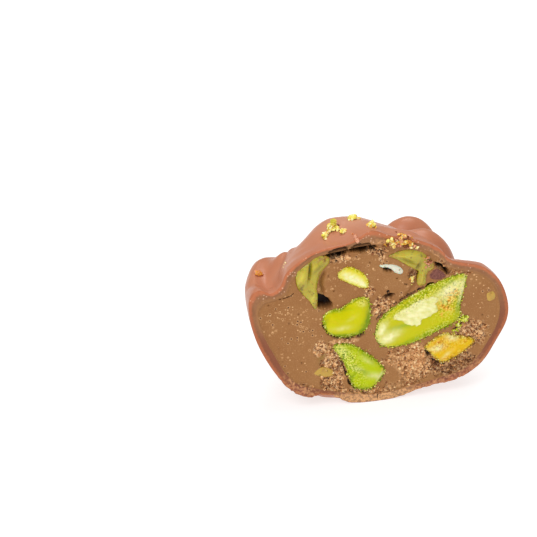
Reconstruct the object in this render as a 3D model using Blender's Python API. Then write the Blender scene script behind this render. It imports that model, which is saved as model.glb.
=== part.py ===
"""Half of a chocolate truffle, cut face to the front, standing on its flat foot.

A rumpled milk chocolate coating goes round a soft chocolate filling, in which five
pistachio kernels, two lumps of pistachio cream and three small slivers of nut are set.
All tables are in millimetres, in the cut's own frame: X to the right along the cut,
Y from the cut into the body, Z up from the floor. The model is in metres.
"""
import math
import random

import bmesh
import bpy
from mathutils import Vector, noise
from mathutils.bvhtree import BVHTree

MM = 0.001

# Driving sizes
CROWN_HEIGHT = 28.1
POLE_LEAN = -1.5            # the crown's top stands this far left of the foot's middle
GAP = 0.3                   # clear space between two neighbouring pieces
CREAM_ROOM = 0.75           # the cream lies against the coating, so its pocket is open to that side

# Edge of the coating at the cut, from the foot's middle to the crown's top, as (x, z).
# The same number of points on each side: foot, belly, rim (point 9), groove, crown.
COATING_RIGHT = [(0, 0), (6.5, 0), (9.5, 0.7), (13.2, 2.6), (15.9, 4.8), (17.8, 8.0), (19.3, 11.2),
                 (19.4, 14.2), (18.1, 17.8), (15.6, 20.3), (12.4, 21.4), (10.5, 22.1), (8.6, 24.2),
                 (5.4, 25.9), (1.5, 27.0), (POLE_LEAN, CROWN_HEIGHT)]
COATING_LEFT = [(0, 0), (-6.5, 0), (-9.2, 0.9), (-12.8, 3.1), (-14.9, 5.6), (-16.8, 8.8), (-18.3, 12.2),
                (-19.2, 15.8), (-19.3, 18.9), (-18.1, 20.4), (-16.2, 19.7), (-14.8, 20.6),
                (-13.4, 23.2), (-9.6, 25.6), (-4.5, 26.6), (POLE_LEAN, CROWN_HEIGHT)]
# Edge straight behind the cut, as (distance from the cut, z)
COATING_BACK = [(0, 0), (9.5, 0), (12.0, 0.9), (13.6, 2.6), (15.0, 5.2), (16.4, 8.6), (17.6, 12.0),
                (18.2, 15.2), (18.0, 18.0), (16.6, 19.6), (14.6, 19.9), (13.0, 21.0), (10.6, 23.6),
                (7.6, 25.7), (3.6, 27.5), (0, CROWN_HEIGHT)]

# Inside of the coating, which is thin beside the cream, thick in the crown and the foot
INNER_TOP = 25.8
INNER_RIGHT = [(0, 1.2), (6.5, 2.2), (9.4, 2.8), (12.6, 3.6), (14.7, 5.2), (16.4, 7.9), (17.8, 10.8),
               (18.1, 13.9), (17.0, 17.2), (14.9, 19.2), (12.0, 20.2), (10.0, 21.1), (8.2, 23.0),
               (5.3, 24.6), (1.4, 25.4), (POLE_LEAN, INNER_TOP)]
INNER_LEFT = [(0, 1.2), (-6.5, 2.4), (-9.4, 3.3), (-12.0, 4.3), (-13.9, 6.4), (-15.4, 9.3),
              (-16.9, 12.4), (-17.8, 15.3), (-17.8, 17.1), (-16.9, 18.1), (-15.3, 18.5), (-13.8, 19.3),
              (-12.9, 21.4), (-10.2, 24.4), (-5.5, 25.4), (POLE_LEAN, INNER_TOP)]
INNER_BACK = [(0, 1.2), (8.6, 1.3), (11.2, 2.3), (12.5, 3.9), (13.7, 6.0), (15.0, 9.0), (16.2, 12.2),
              (16.8, 15.2), (16.5, 17.1), (15.3, 18.2), (13.5, 18.5), (11.7, 19.4), (9.6, 22.1),
              (6.8, 24.1), (3.2, 25.5), (0, INNER_TOP)]

# Mesh steps
LOW_STEPS, HIGH_STEPS = 2, 3     # rows between two points of an edge, below and above the belly
BELLY = 7
TURN_STEPS, INNER_TURN_STEPS = 34, 14
FACE_STEPS = 25

# Soft folds of the dipped coating; they fade out towards the cut. Waves run round the body as
# (waves per radian, phase, share); a zone is four points of the edge where an effect comes and goes
FLUTE_DEPTH = 0.62
FLUTE_WAVES = [(7.3, 0.9, 1.0), (12.1, 2.2, 0.5)]
FLUTE_ZONE = (1.5, 5, 9, 10.5)
RIM_AT = 9
RIM_WAVE, RIM_REACH = 0.8, 1.5
RIM_WAVES = [(5.1, 0.4, 1.0), (9.3, 1.7, 0.6)]
DIMPLE_DEPTH = 0.45
DIMPLE_ZONE = (0, 3, 12, 14)
DIMPLE_SCALE, DIMPLE_RISE = 2.1, 0.55
CUT_FADE = (0, 1.6)         # the crown's folds and lobes set in over this distance from the cut
# Folds of the crown: x, y, turn in degrees, half length, half width, height
CROWN_FOLDS = [(5.0, 2.4, 4, 3.6, 1.0, 0.7), (7.6, 7.1, 4, 4.6, 0.8, -0.8), (-5.4, 7.2, -8, 4.8, 3.4, 1.8),
               (0.6, 11.4, 80, 2.6, 1.1, -1.2), (-4.4, 12.2, 12, 3.2, 1.7, 1.2), (-13.9, 8.3, 24, 3.4, 2.6, 2.5),
               (-10.0, 8.3, 50, 3.6, 1.6, -1.4)]
FOLD_START = (9.2, 10.8)    # the folds set in between these points of the edge
# Rounded lobes that the folds end in: x, y, turn in degrees, half length, half width, foot and top height
CROWN_LOBES = [(6.6, 9.7, -4, 5.6, 3.5, 17.0, 24.7), (7.0, 4.5, -6, 5.6, 3.3, 18.2, 25.2)]
LOBE_START = (8.6, 9.4)
LOBE_BLEND = 1.2            # a lobe runs into the surface over this height
LOBE_SWELL = 0.6            # how round a lobe is: 0.5 is an ellipsoid, 1 a pointed cone
LOBE_SKIRT = 7.0            # how steeply a lobe goes on falling outside its foot
# Valleys that run up over the rim: turn in degrees from the right end of the cut, half width, depth
RIM_VALLEYS = [(163, 7, -1.4), (131, 7, 0.9), (104, 7, 1.5), (68, 7, 1.9), (40, 7, 1.2)]
VALLEY_AT, VALLEY_REACH = 9.2, 2.0      # middle and half length of a valley along the edge
VALLEY_DROP = 0.4                       # part of a valley's depth by which the rim drops as well
RIM_TOP, DROP_REACH, SAG_REACH = 9.6, 1.4, 2.6
# Stretches where the rim sags: turn, half width, drop
RIM_SAGS = [(28, 16, 3.2), (58, 20, 1.8), (162, 14, 1.1), (112, 8, 0.9)]
SAG_START = 12              # degrees from the cut over which a sag sets in
# The foot's front edge is chipped up on both sides of its middle: x, half width, lift
FOOT_CHIPS = [(7.6, 3.6, 1.45), (-7.5, 2.4, 1.75)]
CHIP_REACH = 1.5

# Crumbs of pistachio on the crown: x, y, spread, count
CRUMB_SEED = 11
CRUMB_SIZE = (0.32, 0.62)
CRUMB_CLEAR = 0.75          # crumbs stay this far behind the cut
CRUMB_CLUSTERS = [(-5.9, 4.6, 0.75, 9), (-7.2, 4.1, 0.45, 4), (-5.0, 3.4, 0.3, 2), (-2.6, 6.0, 0.6, 5),
                  (-1.0, 1.5, 0.55, 6), (3.2, 0.9, 1.1, 9), (2.6, 9.8, 1.0, 4), (-3.2, 12.0, 0.9, 4),
                  (-9.6, 9.4, 0.7, 3)]

# Broken patches of the filling's cut face: x, z, half width, half height, depth
ROUGH_PATCHES = [(4.2, 5.0, 3.8, 3.6, 0.8), (-7.2, 6.2, 1.7, 5.0, 0.6), (14.2, 8.6, 2.4, 3.0, 0.7),
                 (10.6, 4.2, 3.6, 1.3, 0.7), (0.3, 15.2, 1.5, 2.2, 0.6), (-1.6, 18.2, 0.9, 0.9, 0.5),
                 (-3.0, 2.0, 7.0, 0.9, 0.5)]
# The piped roll in the upper middle stands out of the face inside a shallow ring groove
ROLL = (-1.0, 20.3, 6.6, 5.0)
RING_DEPTH, RING_WIDTH = 0.45, 0.1
FACE_DEPTH, FACE_WAVE = 0.06, 0.05      # the smooth parts of the face

# Pieces in the cut face: outline as (x, z), its middle line, rise, depth and sharpness of the front
KERNEL_LARGE = dict(
    outline=[(13.0, 18.9), (12.6, 16.4), (12.2, 14.4), (12.3, 12.7), (11.2, 11.6), (8.6, 10.4), (5.4, 9.1),
             (2.2, 8.7), (0.2, 9.3), (-0.6, 11.0), (0.0, 13.3), (2.2, 15.3), (5.6, 17.3), (9.0, 18.8),
             (12.0, 19.6)],
    spine=[(1.6, 11.4), (10.6, 16.2)], rise=0.25, depth=3.4, edge=6)
KERNEL_BEAN = dict(
    outline=[(-8.4, 14.8), (-7.4, 15.9), (-5.7, 16.0), (-4.4, 16.9), (-3.0, 17.5), (-1.7, 17.1), (-1.3, 15.4),
             (-1.4, 13.1), (-2.6, 11.6), (-4.7, 11.2), (-6.9, 11.7), (-8.1, 13.0)],
    spine=[(-6.2, 13.6), (-3.4, 14.2)], rise=0.9, depth=3.2, edge=2)
KERNEL_LOW = dict(
    outline=[(-6.8, 9.8), (-5.3, 10.2), (-3.5, 9.6), (-1.7, 8.2), (0.1, 6.4), (1.0, 5.0), (0.3, 3.5),
             (-1.1, 2.2), (-2.7, 2.2), (-3.9, 3.1), (-4.5, 4.9), (-5.3, 7.2)],
    spine=[(-4.6, 8.0), (-1.6, 4.2)], rise=0.6, depth=2.8, edge=3)
KERNEL_YELLOW = dict(
    outline=[(-6.3, 21.6), (-5.4, 22.5), (-4.1, 22.5), (-2.6, 21.5), (-1.7, 20.2), (-1.7, 19.0), (-2.8, 19.0),
             (-4.6, 19.9), (-6.0, 20.8)],
    spine=[(-5.0, 21.4), (-2.9, 20.2)], rise=0.3, depth=2.0, edge=4)
KERNEL_GOLD = dict(
    outline=[(7.0, 8.2), (8.4, 9.4), (10.0, 10.1), (12.0, 9.4), (14.4, 8.6), (13.8, 7.4), (12.0, 6.1),
             (10.1, 5.3), (9.0, 5.7), (7.9, 7.0)],
    spine=[(9.0, 7.6), (12.2, 7.8)], rise=0.3, depth=2.4, edge=4)
CREAM_LEFT = dict(
    outline=[(-12.2, 21.3), (-11.2, 22.7), (-10.1, 23.7), (-8.9, 24.2), (-7.7, 24.3), (-7.3, 23.8),
             (-8.4, 22.9), (-9.0, 21.6), (-9.0, 19.9), (-9.5, 18.2), (-9.6, 16.6), (-10.2, 16.9),
             (-11.2, 18.3), (-12.1, 19.8)],
    spine=[(-10.0, 17.4), (-10.7, 20.4), (-9.9, 22.6), (-8.4, 23.7)], rise=0.15, depth=2.2, edge=4,
    room=CREAM_ROOM)
CREAM_RIGHT = dict(
    outline=[(1.2, 23.7), (2.6, 24.1), (4.2, 24.2), (5.6, 23.8), (6.8, 23.0), (7.7, 21.9), (7.9, 21.0),
             (7.1, 20.4), (6.9, 19.3), (6.7, 18.5), (5.9, 18.5), (5.6, 19.4), (5.9, 20.7), (5.0, 21.3),
             (3.8, 22.0), (2.4, 23.0)],
    spine=[(2.4, 23.5), (4.6, 23.0), (6.4, 21.6), (6.4, 19.4)], rise=0.15, depth=2.2, edge=4,
    room=CREAM_ROOM)
WHITE_SLIVER = dict(
    outline=[(-0.3, 22.3), (1.2, 22.3), (2.8, 21.9), (3.4, 21.0), (3.0, 20.6), (1.8, 21.0), (0.5, 21.5)],
    spine=[(1.0, 21.8), (2.6, 21.3)], rise=0.1, depth=0.9, edge=4)
BIT_RIGHT = dict(
    outline=[(16.0, 15.6), (16.9, 15.9), (17.2, 15.2), (16.8, 14.4), (16.1, 14.5)],
    spine=[(16.5, 15.3), (16.6, 14.9)], rise=0.05, depth=0.8, edge=4)
BIT_LOW = dict(
    outline=[(-9.7, 5.8), (-8.8, 6.4), (-7.8, 6.5), (-6.9, 5.8), (-7.2, 5.1), (-8.6, 5.2)],
    spine=[(-8.8, 5.8), (-7.7, 5.8)], rise=0.1, depth=0.9, edge=4)
INLAYS = dict(kernel_large=KERNEL_LARGE, kernel_bean=KERNEL_BEAN, kernel_low=KERNEL_LOW,
              kernel_yellow=KERNEL_YELLOW, kernel_gold=KERNEL_GOLD, cream_left=CREAM_LEFT,
              cream_right=CREAM_RIGHT, white_sliver=WHITE_SLIVER, bit_right=BIT_RIGHT, bit_low=BIT_LOW)
INLAY_EDGE = 0.12           # an inlay's outline lies this far behind the cut
INLAY_ROUGHNESS = 0.1
HEART_SHARE = 0.16          # the innermost ring of a piece, as a share of the way from spine to outline
FRONT_SHARES = (0.62, 0.92)
BACK_RINGS = 3
POCKET_FRONT = -2.0         # pocket cutters start this far in front of the cut
POCKET_TURN = math.radians(62)      # the round wall of a pocket ends here in a flat bottom

# Hollows left between coating and filling, as outlines on the cut face, with their depth
HOLLOWS = [dict(outline=[(-8.0, 24.0), (-7.6, 26.4), (-5.2, 26.4), (-5.1, 24.8), (-6.2, 24.1), (-7.2, 23.5)],
                depth=1.6),
           dict(outline=[(-4.5, 25.0), (-4.2, 26.4), (-1.2, 26.4), (-0.9, 25.0), (-2.6, 24.6)], depth=1.6),
           dict(outline=[(-8.9, 19.4), (-8.3, 18.4), (-7.0, 17.2), (-7.4, 16.4), (-8.9, 16.7)], depth=2.0),
           dict(outline=[(8.4, 21.5), (9.3, 21.2), (9.9, 20.4), (8.9, 20.6)], depth=1.2),
           dict(outline=[(0.7, 17.5), (1.6, 17.7), (2.3, 17.2), (1.3, 16.9)], depth=0.9)]


def smoothstep(low, high, value):
    f = min(max((value - low) / (high - low), 0.0), 1.0)
    return f * f * (3 - 2 * f)


def bell(value, middle, half_width):
    return math.exp(-((value - middle) / half_width) ** 2)


def catmull(p0, p1, p2, p3, f):
    """One number of a Catmull-Rom curve between p1 and p2."""
    return 0.5 * (2 * p1 + (p2 - p0) * f + (2 * p0 - 5 * p1 + 4 * p2 - p3) * f * f
                  + (3 * p1 - p0 - 3 * p2 + p3) * f ** 3)


def edge_at(edge, t):
    """Radius and height of a profile at t, which counts the points of the edge."""
    last = len(edge) - 1
    i = min(int(t), last - 1)
    before = edge[i - 1] if i > 0 else (-edge[1][0], edge[1][1])
    after = edge[i + 2] if i + 2 <= last else (-edge[last - 1][0], edge[last - 1][1])
    return [catmull(before[n], edge[i][n], edge[i + 1][n], after[n], t - i) for n in (0, 1)]


def lean(z):
    return POLE_LEAN * z / CROWN_HEIGHT


def from_axis(edge):
    """Turns (x, z) points at the cut into (distance from the leaning axis, z)."""
    return [(abs(x - lean(z)), z) for x, z in edge]


def make_shape(right, left, back):
    for side in (right, left):
        side[-1] = (lean(side[-1][1]), side[-1][1])
    return dict(right=from_axis(right), left=from_axis(left), back=back)


def fold_height(x, y, t, outer):
    """How far the crown's folds lift or lower the surface above x, y."""
    lift = 0.0
    for fx, fy, turn, length, width, height in CROWN_FOLDS:
        if height > 0 and not outer:
            continue
        a = math.radians(turn)
        along = (x - fx) * math.cos(a) + (y - fy) * math.sin(a)
        across = (y - fy) * math.cos(a) - (x - fx) * math.sin(a)
        lift += height * math.exp(-(along / length) ** 2 - (across / width) ** 2)
    return lift * smoothstep(*FOLD_START, t) * smoothstep(*CUT_FADE, y)


def height_over_lobes(x, y, z, t):
    """Height of the crown at x, y with the rounded lobes laid over it."""
    top = z
    for lx, ly, turn, length, width, foot, peak in CROWN_LOBES:
        a = math.radians(turn)
        along = (x - lx) * math.cos(a) + (y - ly) * math.sin(a)
        across = (y - ly) * math.cos(a) - (x - lx) * math.sin(a)
        out = (along / length) ** 2 + (across / width) ** 2
        lobe = foot + (peak - foot) * max(1 - out, 0.0) ** LOBE_SWELL - LOBE_SKIRT * max(out - 1, 0.0)
        near = max(LOBE_BLEND - abs(top - lobe), 0.0)
        top = max(top, lobe) + near * near / (4 * LOBE_BLEND)
    return z + (top - z) * smoothstep(*LOBE_START, t) * smoothstep(*CUT_FADE, y)


def foot_chip(x, y):
    if y > 3 * CHIP_REACH:
        return 0.0
    return sum(lift * bell(x, middle, half) for middle, half, lift in FOOT_CHIPS) * bell(y, 0, CHIP_REACH)


def waves(table, turn):
    return sum(share * math.sin(rate * turn + phase) for rate, phase, share in table)


def in_zone(zone, t):
    return smoothstep(zone[0], zone[1], t) * (1 - smoothstep(zone[2], zone[3], t))


def surface_point(shape, turn, t, outer):
    """Point of a shell: turn 0 is the right end of the cut, pi/2 straight back, pi the left end."""
    side = edge_at(shape["right"] if turn < math.pi / 2 else shape["left"], t)
    back = edge_at(shape["back"], t)
    share = math.sin(turn) ** 2
    r, z = (s * (1 - share) + b * share for s, b in zip(side, back))
    free = math.sin(turn) if 0 < turn < math.pi else 0.0
    degrees = math.degrees(turn)
    valley = sum(depth * bell(degrees, middle, half) for middle, half, depth in RIM_VALLEYS)
    r -= valley * bell(t, VALLEY_AT, VALLEY_REACH) * free
    z -= VALLEY_DROP * valley * bell(t, RIM_TOP, DROP_REACH) * free
    sag = sum(drop * bell(degrees, middle, half) for middle, half, drop in RIM_SAGS)
    z -= sag * bell(t, RIM_TOP, SAG_REACH) * smoothstep(0, SAG_START, min(degrees, 180 - degrees))
    if outer:
        r += FLUTE_DEPTH * in_zone(FLUTE_ZONE, t) * free * waves(FLUTE_WAVES, turn)
        z += RIM_WAVE * bell(t, RIM_AT, RIM_REACH) * free * waves(RIM_WAVES, turn)
        ring = DIMPLE_SCALE * Vector((math.cos(turn), math.sin(turn), 0))
        dent = noise.noise(ring + Vector((0, 0, DIMPLE_RISE * t)))
        r += DIMPLE_DEPTH * in_zone(DIMPLE_ZONE, t) * free * dent
    x = lean(z) + r * math.cos(turn)
    y = r * math.sin(turn) if free else 0.0
    z = max(z + fold_height(x, y, t, outer), 0.0)
    if outer and t < BELLY:
        z += foot_chip(x, y)
    elif outer:
        z = height_over_lobes(x, y, z, t)
    return Vector((x, y, z))


def edge_rows(shape):
    """The values of t that get a row of points, from foot to crown."""
    rows = []
    for i in range(len(shape["back"]) - 1):
        steps = LOW_STEPS if i < BELLY else HIGH_STEPS
        rows += [i + n / steps for n in range(steps)]
    return rows + [len(shape["back"]) - 1]


def inset_point(shape, turn, t, outer, inset):
    """Surface point moved inwards along the surface's normal."""
    here = surface_point(shape, turn, t, outer)
    if not inset:
        return here
    step = 0.02
    last = len(shape["back"]) - 1
    low, high = max(turn - step, 0), min(turn + step, math.pi)
    down, up = max(t - step, 0), min(t + step, last)
    if t in (0, last):
        normal = Vector((0, 0, 1 if t else -1))
    else:
        around = surface_point(shape, high, t, outer) - surface_point(shape, low, t, outer)
        rising = surface_point(shape, turn, up, outer) - surface_point(shape, turn, down, outer)
        normal = around.cross(rising).normalized()
    moved = here - normal * inset
    moved.y = 0.0 if turn in (0, math.pi) else max(moved.y, 0.0)
    return moved


def shell_grid(bm, shape, turn_steps, outer, inset=0.0):
    """Rows of vertices of a half shell; the first and last row are one vertex each."""
    grid = []
    rows = edge_rows(shape)
    for n, t in enumerate(rows):
        if n in (0, len(rows) - 1):
            grid.append([bm.verts.new(inset_point(shape, math.pi / 2, t, outer, inset))] * (turn_steps + 1))
            continue
        grid.append([bm.verts.new(inset_point(shape, math.pi * i / turn_steps, t, outer, inset))
                     for i in range(turn_steps + 1)])
    return grid


def skin(bm, grid, flip=False):
    """Faces between the rows of a grid; a repeated vertex makes a triangle."""
    for low, high in zip(grid, grid[1:]):
        for i in range(len(low) - 1):
            corners = [low[i], low[i + 1], high[i + 1], high[i]]
            corners = [v for n, v in enumerate(corners) if v not in corners[:n]]
            if len(corners) > 2:
                bm.faces.new(reversed(corners) if flip else corners)


def finish_object(bm, name, material=None):
    """Closes a bmesh, in millimetres, into an object with flat foot at the floor."""
    bmesh.ops.triangulate(bm, faces=bm.faces[:])
    bmesh.ops.recalc_face_normals(bm, faces=bm.faces[:])
    bmesh.ops.scale(bm, vec=(MM, MM, MM), verts=bm.verts[:])
    mesh = bpy.data.meshes.new(name)
    bm.to_mesh(mesh)
    bm.free()
    obj = bpy.data.objects.new(name, mesh)
    bpy.context.scene.collection.objects.link(obj)
    if material:
        mesh.materials.append(material)
    return obj


def apply_boolean(obj, operation, tools):
    """Joins or cuts the object with a list of closed objects, which are then removed."""
    group = bpy.data.collections.new("tools")
    bpy.context.scene.collection.children.link(group)
    for tool in tools:
        group.objects.link(tool)
    modifier = obj.modifiers.new("boolean", "BOOLEAN")
    modifier.operation = operation
    modifier.operand_type = "COLLECTION"
    modifier.collection = group
    modifier.solver = "EXACT"
    mesh = bpy.data.meshes.new_from_object(obj.evaluated_get(bpy.context.evaluated_depsgraph_get()))
    obj.modifiers.clear()
    materials = list(obj.data.materials)
    obj.data = mesh
    mesh.materials.clear()
    for material in materials:
        mesh.materials.append(material)
    for tool in tools:
        bpy.data.objects.remove(tool)
    bpy.data.collections.remove(group)


def keep_largest_body(obj):
    """Drops loose scraps and pairs of twin faces that a cut leaves, and triangulates what stays."""
    bm = bmesh.new()
    bm.from_mesh(obj.data)
    bm.verts.ensure_lookup_table()
    unseen = set(bm.verts)
    bodies = []
    while unseen:
        stack = [unseen.pop()]
        body = set(stack)
        while stack:
            for edge in stack.pop().link_edges:
                for vert in edge.verts:
                    if vert in unseen:
                        unseen.remove(vert)
                        body.add(vert)
                        stack.append(vert)
        bodies.append(body)
    bodies.sort(key=len)
    for body in bodies[:-1]:
        bmesh.ops.delete(bm, geom=list(body), context="VERTS")
    bmesh.ops.triangulate(bm, faces=bm.faces[:])
    by_corners = {}
    for face in bm.faces:
        by_corners.setdefault(frozenset(face.verts), []).append(face)
    twins = [face for faces in by_corners.values() if len(faces) == 2 for face in faces]
    bmesh.ops.delete(bm, geom=twins, context="FACES")
    bm.to_mesh(obj.data)
    bm.free()


def smooth_loop(points, per_side):
    """Closed Catmull-Rom curve through outline points, as (x, z) pairs."""
    count = len(points)
    loop = []
    for i in range(count):
        p = [points[(i + n) % count] for n in (-1, 0, 1, 2)]
        for k in range(per_side):
            loop.append(tuple(catmull(*(q[n] for q in p), k / per_side) for n in (0, 1)))
    return loop


def grown_loop(loop, distance):
    """Loop moved outwards by a distance; loops run either way round."""
    area = sum(a[0] * b[1] - b[0] * a[1] for a, b in zip(loop, loop[1:] + loop[:1]))
    outward = 1 if area > 0 else -1
    grown = []
    for before, here, after in zip(loop[-1:] + loop[:-1], loop, loop[1:] + loop[:1]):
        dx, dz = after[0] - before[0], after[1] - before[1]
        size = math.hypot(dx, dz)
        grown.append((here[0] + outward * distance * dz / size, here[1] - outward * distance * dx / size))
    return grown


def nearest_on_spine(spine, point):
    p = Vector(point)
    best = None
    for a, b in zip(spine, spine[1:]):
        a, b = Vector(a), Vector(b)
        f = min(max((p - a).dot(b - a) / (b - a).length_squared, 0.0), 1.0)
        q = a.lerp(b, f)
        if best is None or (p - q).length < (p - best).length:
            best = q
    return best


def ring_of(bm, loop, spine, share, y, roughness=0.0):
    """Ring of vertices between the loop (share 1) and its spine (share 0) at depth y."""
    ring = []
    for point in loop:
        heart = nearest_on_spine(spine, point)
        x, z = heart.lerp(Vector(point), share)
        wobble = roughness * noise.noise(Vector((x, y + 7, z)) * 0.9)
        ring.append(bm.verts.new((x, y + wobble, z)))
    return ring


def inlay_object(name, inlay, material):
    """A piece in the cut face: low front, rounded body behind, on a common outline."""
    loop = smooth_loop(inlay["outline"], 2)
    spine = inlay["spine"]
    bm = bmesh.new()
    rings = []
    for share in (HEART_SHARE, *FRONT_SHARES):
        y = INLAY_EDGE - inlay["rise"] * (1 - share ** inlay["edge"]) ** 0.5
        rings.append(ring_of(bm, loop, spine, share, y, INLAY_ROUGHNESS))
    rings.append(ring_of(bm, loop, spine, 1.0, INLAY_EDGE))
    for n in range(1, BACK_RINGS + 1):
        angle = math.acos(HEART_SHARE) * n / BACK_RINGS
        rings.append(ring_of(bm, loop, spine, math.cos(angle), INLAY_EDGE + inlay["depth"] * math.sin(angle)))
    skin(bm, [ring + ring[:1] for ring in rings])
    bm.faces.new(rings[0])
    bm.faces.new(rings[-1])
    return finish_object(bm, name, material)


def pocket_cutter(outline, spine, depth, grow):
    """Closed tool that clears the space of an inlay or a hollow from in front of the face."""
    loop = grown_loop(smooth_loop(outline, 2), grow)
    bm = bmesh.new()
    rings = [ring_of(bm, loop, spine, 1.0, POCKET_FRONT), ring_of(bm, loop, spine, 1.0, INLAY_EDGE)]
    for n in range(1, BACK_RINGS + 1):
        angle = POCKET_TURN * n / BACK_RINGS
        y = INLAY_EDGE + (depth + grow) * math.sin(angle) / math.sin(POCKET_TURN)
        rings.append(ring_of(bm, loop, spine, math.cos(angle), y))
    skin(bm, [ring + ring[:1] for ring in rings])
    bm.faces.new(rings[0])
    bm.faces.new(rings[-1])
    return finish_object(bm, "cutter")


def face_relief(x, z):
    """Depth of the filling's cut face behind the cut: broken patches and the roll's ring."""
    depth = FACE_DEPTH + FACE_WAVE * noise.noise(Vector((x, 0, z)) * 0.35)
    for px, pz, half_x, half_z, deep in ROUGH_PATCHES:
        share = math.exp(-((x - px) / half_x) ** 4 - ((z - pz) / half_z) ** 4)
        depth += share * deep * (0.5 + 1.3 * noise.noise(Vector((x + 3, 0, z)) * 0.85))
    rx, rz, half_x, half_z = ROLL
    out = math.hypot((x - rx) / half_x, (z - rz) / half_z)
    depth += RING_DEPTH * bell(out, 1.0, RING_WIDTH)
    return max(depth, 0.0)


def make_material(name, color, roughness, subsurface=0.0):
    material = bpy.data.materials.new(name)
    material.use_nodes = True
    shader = material.node_tree.nodes["Principled BSDF"]
    shader.inputs["Base Color"].default_value = (*color, 1)
    shader.inputs["Roughness"].default_value = roughness
    shader.inputs["Metallic"].default_value = 0.0
    shader.inputs["Subsurface Weight"].default_value = subsurface
    material.diffuse_color = (*color, 1)
    return material


def coating_object(shape, inner_shape, material):
    """Dipped coating: outside, inside, and the band between them on the cut."""
    bm = bmesh.new()
    outside = shell_grid(bm, shape, TURN_STEPS, True)
    inside = shell_grid(bm, inner_shape, INNER_TURN_STEPS, False)
    skin(bm, outside)
    skin(bm, inside, flip=True)
    for end in (0, -1):
        band = [[out[end], inn[end]] for out, inn in zip(outside, inside)]
        skin(bm, band, flip=end == 0)
    return finish_object(bm, "coating", material)


def filling_object(shape, material):
    """Soft filling: the inside of the coating less a gap, closed by the rough cut face."""
    bm = bmesh.new()
    body = shell_grid(bm, shape, INNER_TURN_STEPS, False, inset=GAP)
    skin(bm, body)
    face = []
    for n, row in enumerate(body):
        if row[0] is row[-1]:
            face.append([row[0]] * (FACE_STEPS + 1))
            continue
        row_fade = smoothstep(1, 4, min(n, len(body) - 1 - n))
        across = [row[0]]
        for i in range(1, FACE_STEPS):
            place = row[0].co.lerp(row[-1].co, i / FACE_STEPS)
            edge_fade = smoothstep(0, 2, min(i, FACE_STEPS - i))
            place.y = face_relief(place.x, place.z) * edge_fade * row_fade
            across.append(bm.verts.new(place))
        face.append(across + [row[-1]])
    skin(bm, face, flip=True)
    return finish_object(bm, "filling", material)


def add_crumbs(coating):
    """Fuses small broken crumbs of pistachio to the crown."""
    tree = BVHTree.FromObject(coating, bpy.context.evaluated_depsgraph_get())
    draw = random.Random(CRUMB_SEED)
    crumbs = []
    for x, y, spread, count in CRUMB_CLUSTERS:
        for _ in range(count):
            size = draw.uniform(*CRUMB_SIZE)
            px = x + draw.gauss(0, spread * 0.6)
            py = max(y + draw.gauss(0, spread * 0.6), CRUMB_CLEAR)
            hit = tree.ray_cast(Vector((px, py, 60)) * MM, Vector((0, 0, -1)))[0]
            bm = bmesh.new()
            bmesh.ops.create_icosphere(bm, subdivisions=1, radius=size)
            for vert in bm.verts:
                vert.co *= draw.uniform(0.72, 1.2)
                vert.co.z *= 0.85
                vert.co += hit / MM + Vector((0, 0, 0.25 * size))
            crumbs.append(finish_object(bm, "crumb"))
    apply_boolean(coating, "UNION", crumbs)
    keep_largest_body(coating)


def shade(obj):
    obj.data.shade_smooth()
    obj.data.set_sharp_from_angle(angle=math.radians(50))


def build():
    for obj in list(bpy.data.objects):
        bpy.data.objects.remove(obj)
    chocolate = make_material("milk_chocolate", (0.30, 0.125, 0.075), 0.34)
    ganache = make_material("chocolate_filling", (0.27, 0.145, 0.075), 0.6)
    kernel = make_material("pistachio_kernel", (0.42, 0.52, 0.02), 0.45)
    golden = make_material("pistachio_golden", (0.72, 0.50, 0.04), 0.5)
    cream = make_material("pistachio_cream", (0.36, 0.36, 0.05), 0.35)
    pale = make_material("nut_pale", (0.62, 0.66, 0.60), 0.4)
    materials = dict(kernel_yellow=golden, kernel_gold=golden, cream_left=cream, cream_right=cream,
                     white_sliver=pale, bit_right=golden, bit_low=golden)

    shape = make_shape(COATING_RIGHT, COATING_LEFT, COATING_BACK)
    inner_shape = make_shape(INNER_RIGHT, INNER_LEFT, INNER_BACK)
    coating = coating_object(shape, inner_shape, chocolate)
    add_crumbs(coating)
    filling = filling_object(inner_shape, ganache)
    cutters = [pocket_cutter(inlay["outline"], inlay["spine"], inlay["depth"], inlay.get("room", GAP))
               for inlay in INLAYS.values()]
    for hollow in HOLLOWS:
        middle = [sum(p[n] for p in hollow["outline"]) / len(hollow["outline"]) for n in (0, 1)]
        spine = [tuple(middle), (middle[0] + 0.05, middle[1])]
        cutters.append(pocket_cutter(hollow["outline"], spine, hollow["depth"], 0.0))
    apply_boolean(filling, "DIFFERENCE", cutters)
    keep_largest_body(filling)
    pieces = [coating, filling]
    pieces += [inlay_object(name, inlay, materials.get(name, kernel)) for name, inlay in INLAYS.items()]

    corners = [vert.co for obj in pieces for vert in obj.data.vertices]
    low = [min(c[n] for c in corners) for n in range(3)]
    high = [max(c[n] for c in corners) for n in range(3)]
    truffle = bpy.data.objects.new("truffle", None)
    bpy.context.scene.collection.objects.link(truffle)
    truffle.location = (-(low[0] + high[0]) / 2, -(low[1] + high[1]) / 2, -low[2])
    for obj in pieces:
        obj.parent = truffle
        shade(obj)


build()
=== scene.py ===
"""Looks of the cut chocolate truffle: pistachios and pistachio cream in a soft chocolate filling,
a dipped milk chocolate coating with chopped pistachio on the crown, on a white table.
Lengths inside the sections are in millimetres in the cut's own frame: X along the cut, Y from the
cut into the body, Z up. Each finished mesh is set in metres where the CAD has its pieces."""
import math
import random

import bmesh
import bpy
from mathutils import Matrix, Vector, noise
from mathutils.bvhtree import BVHTree


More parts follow.
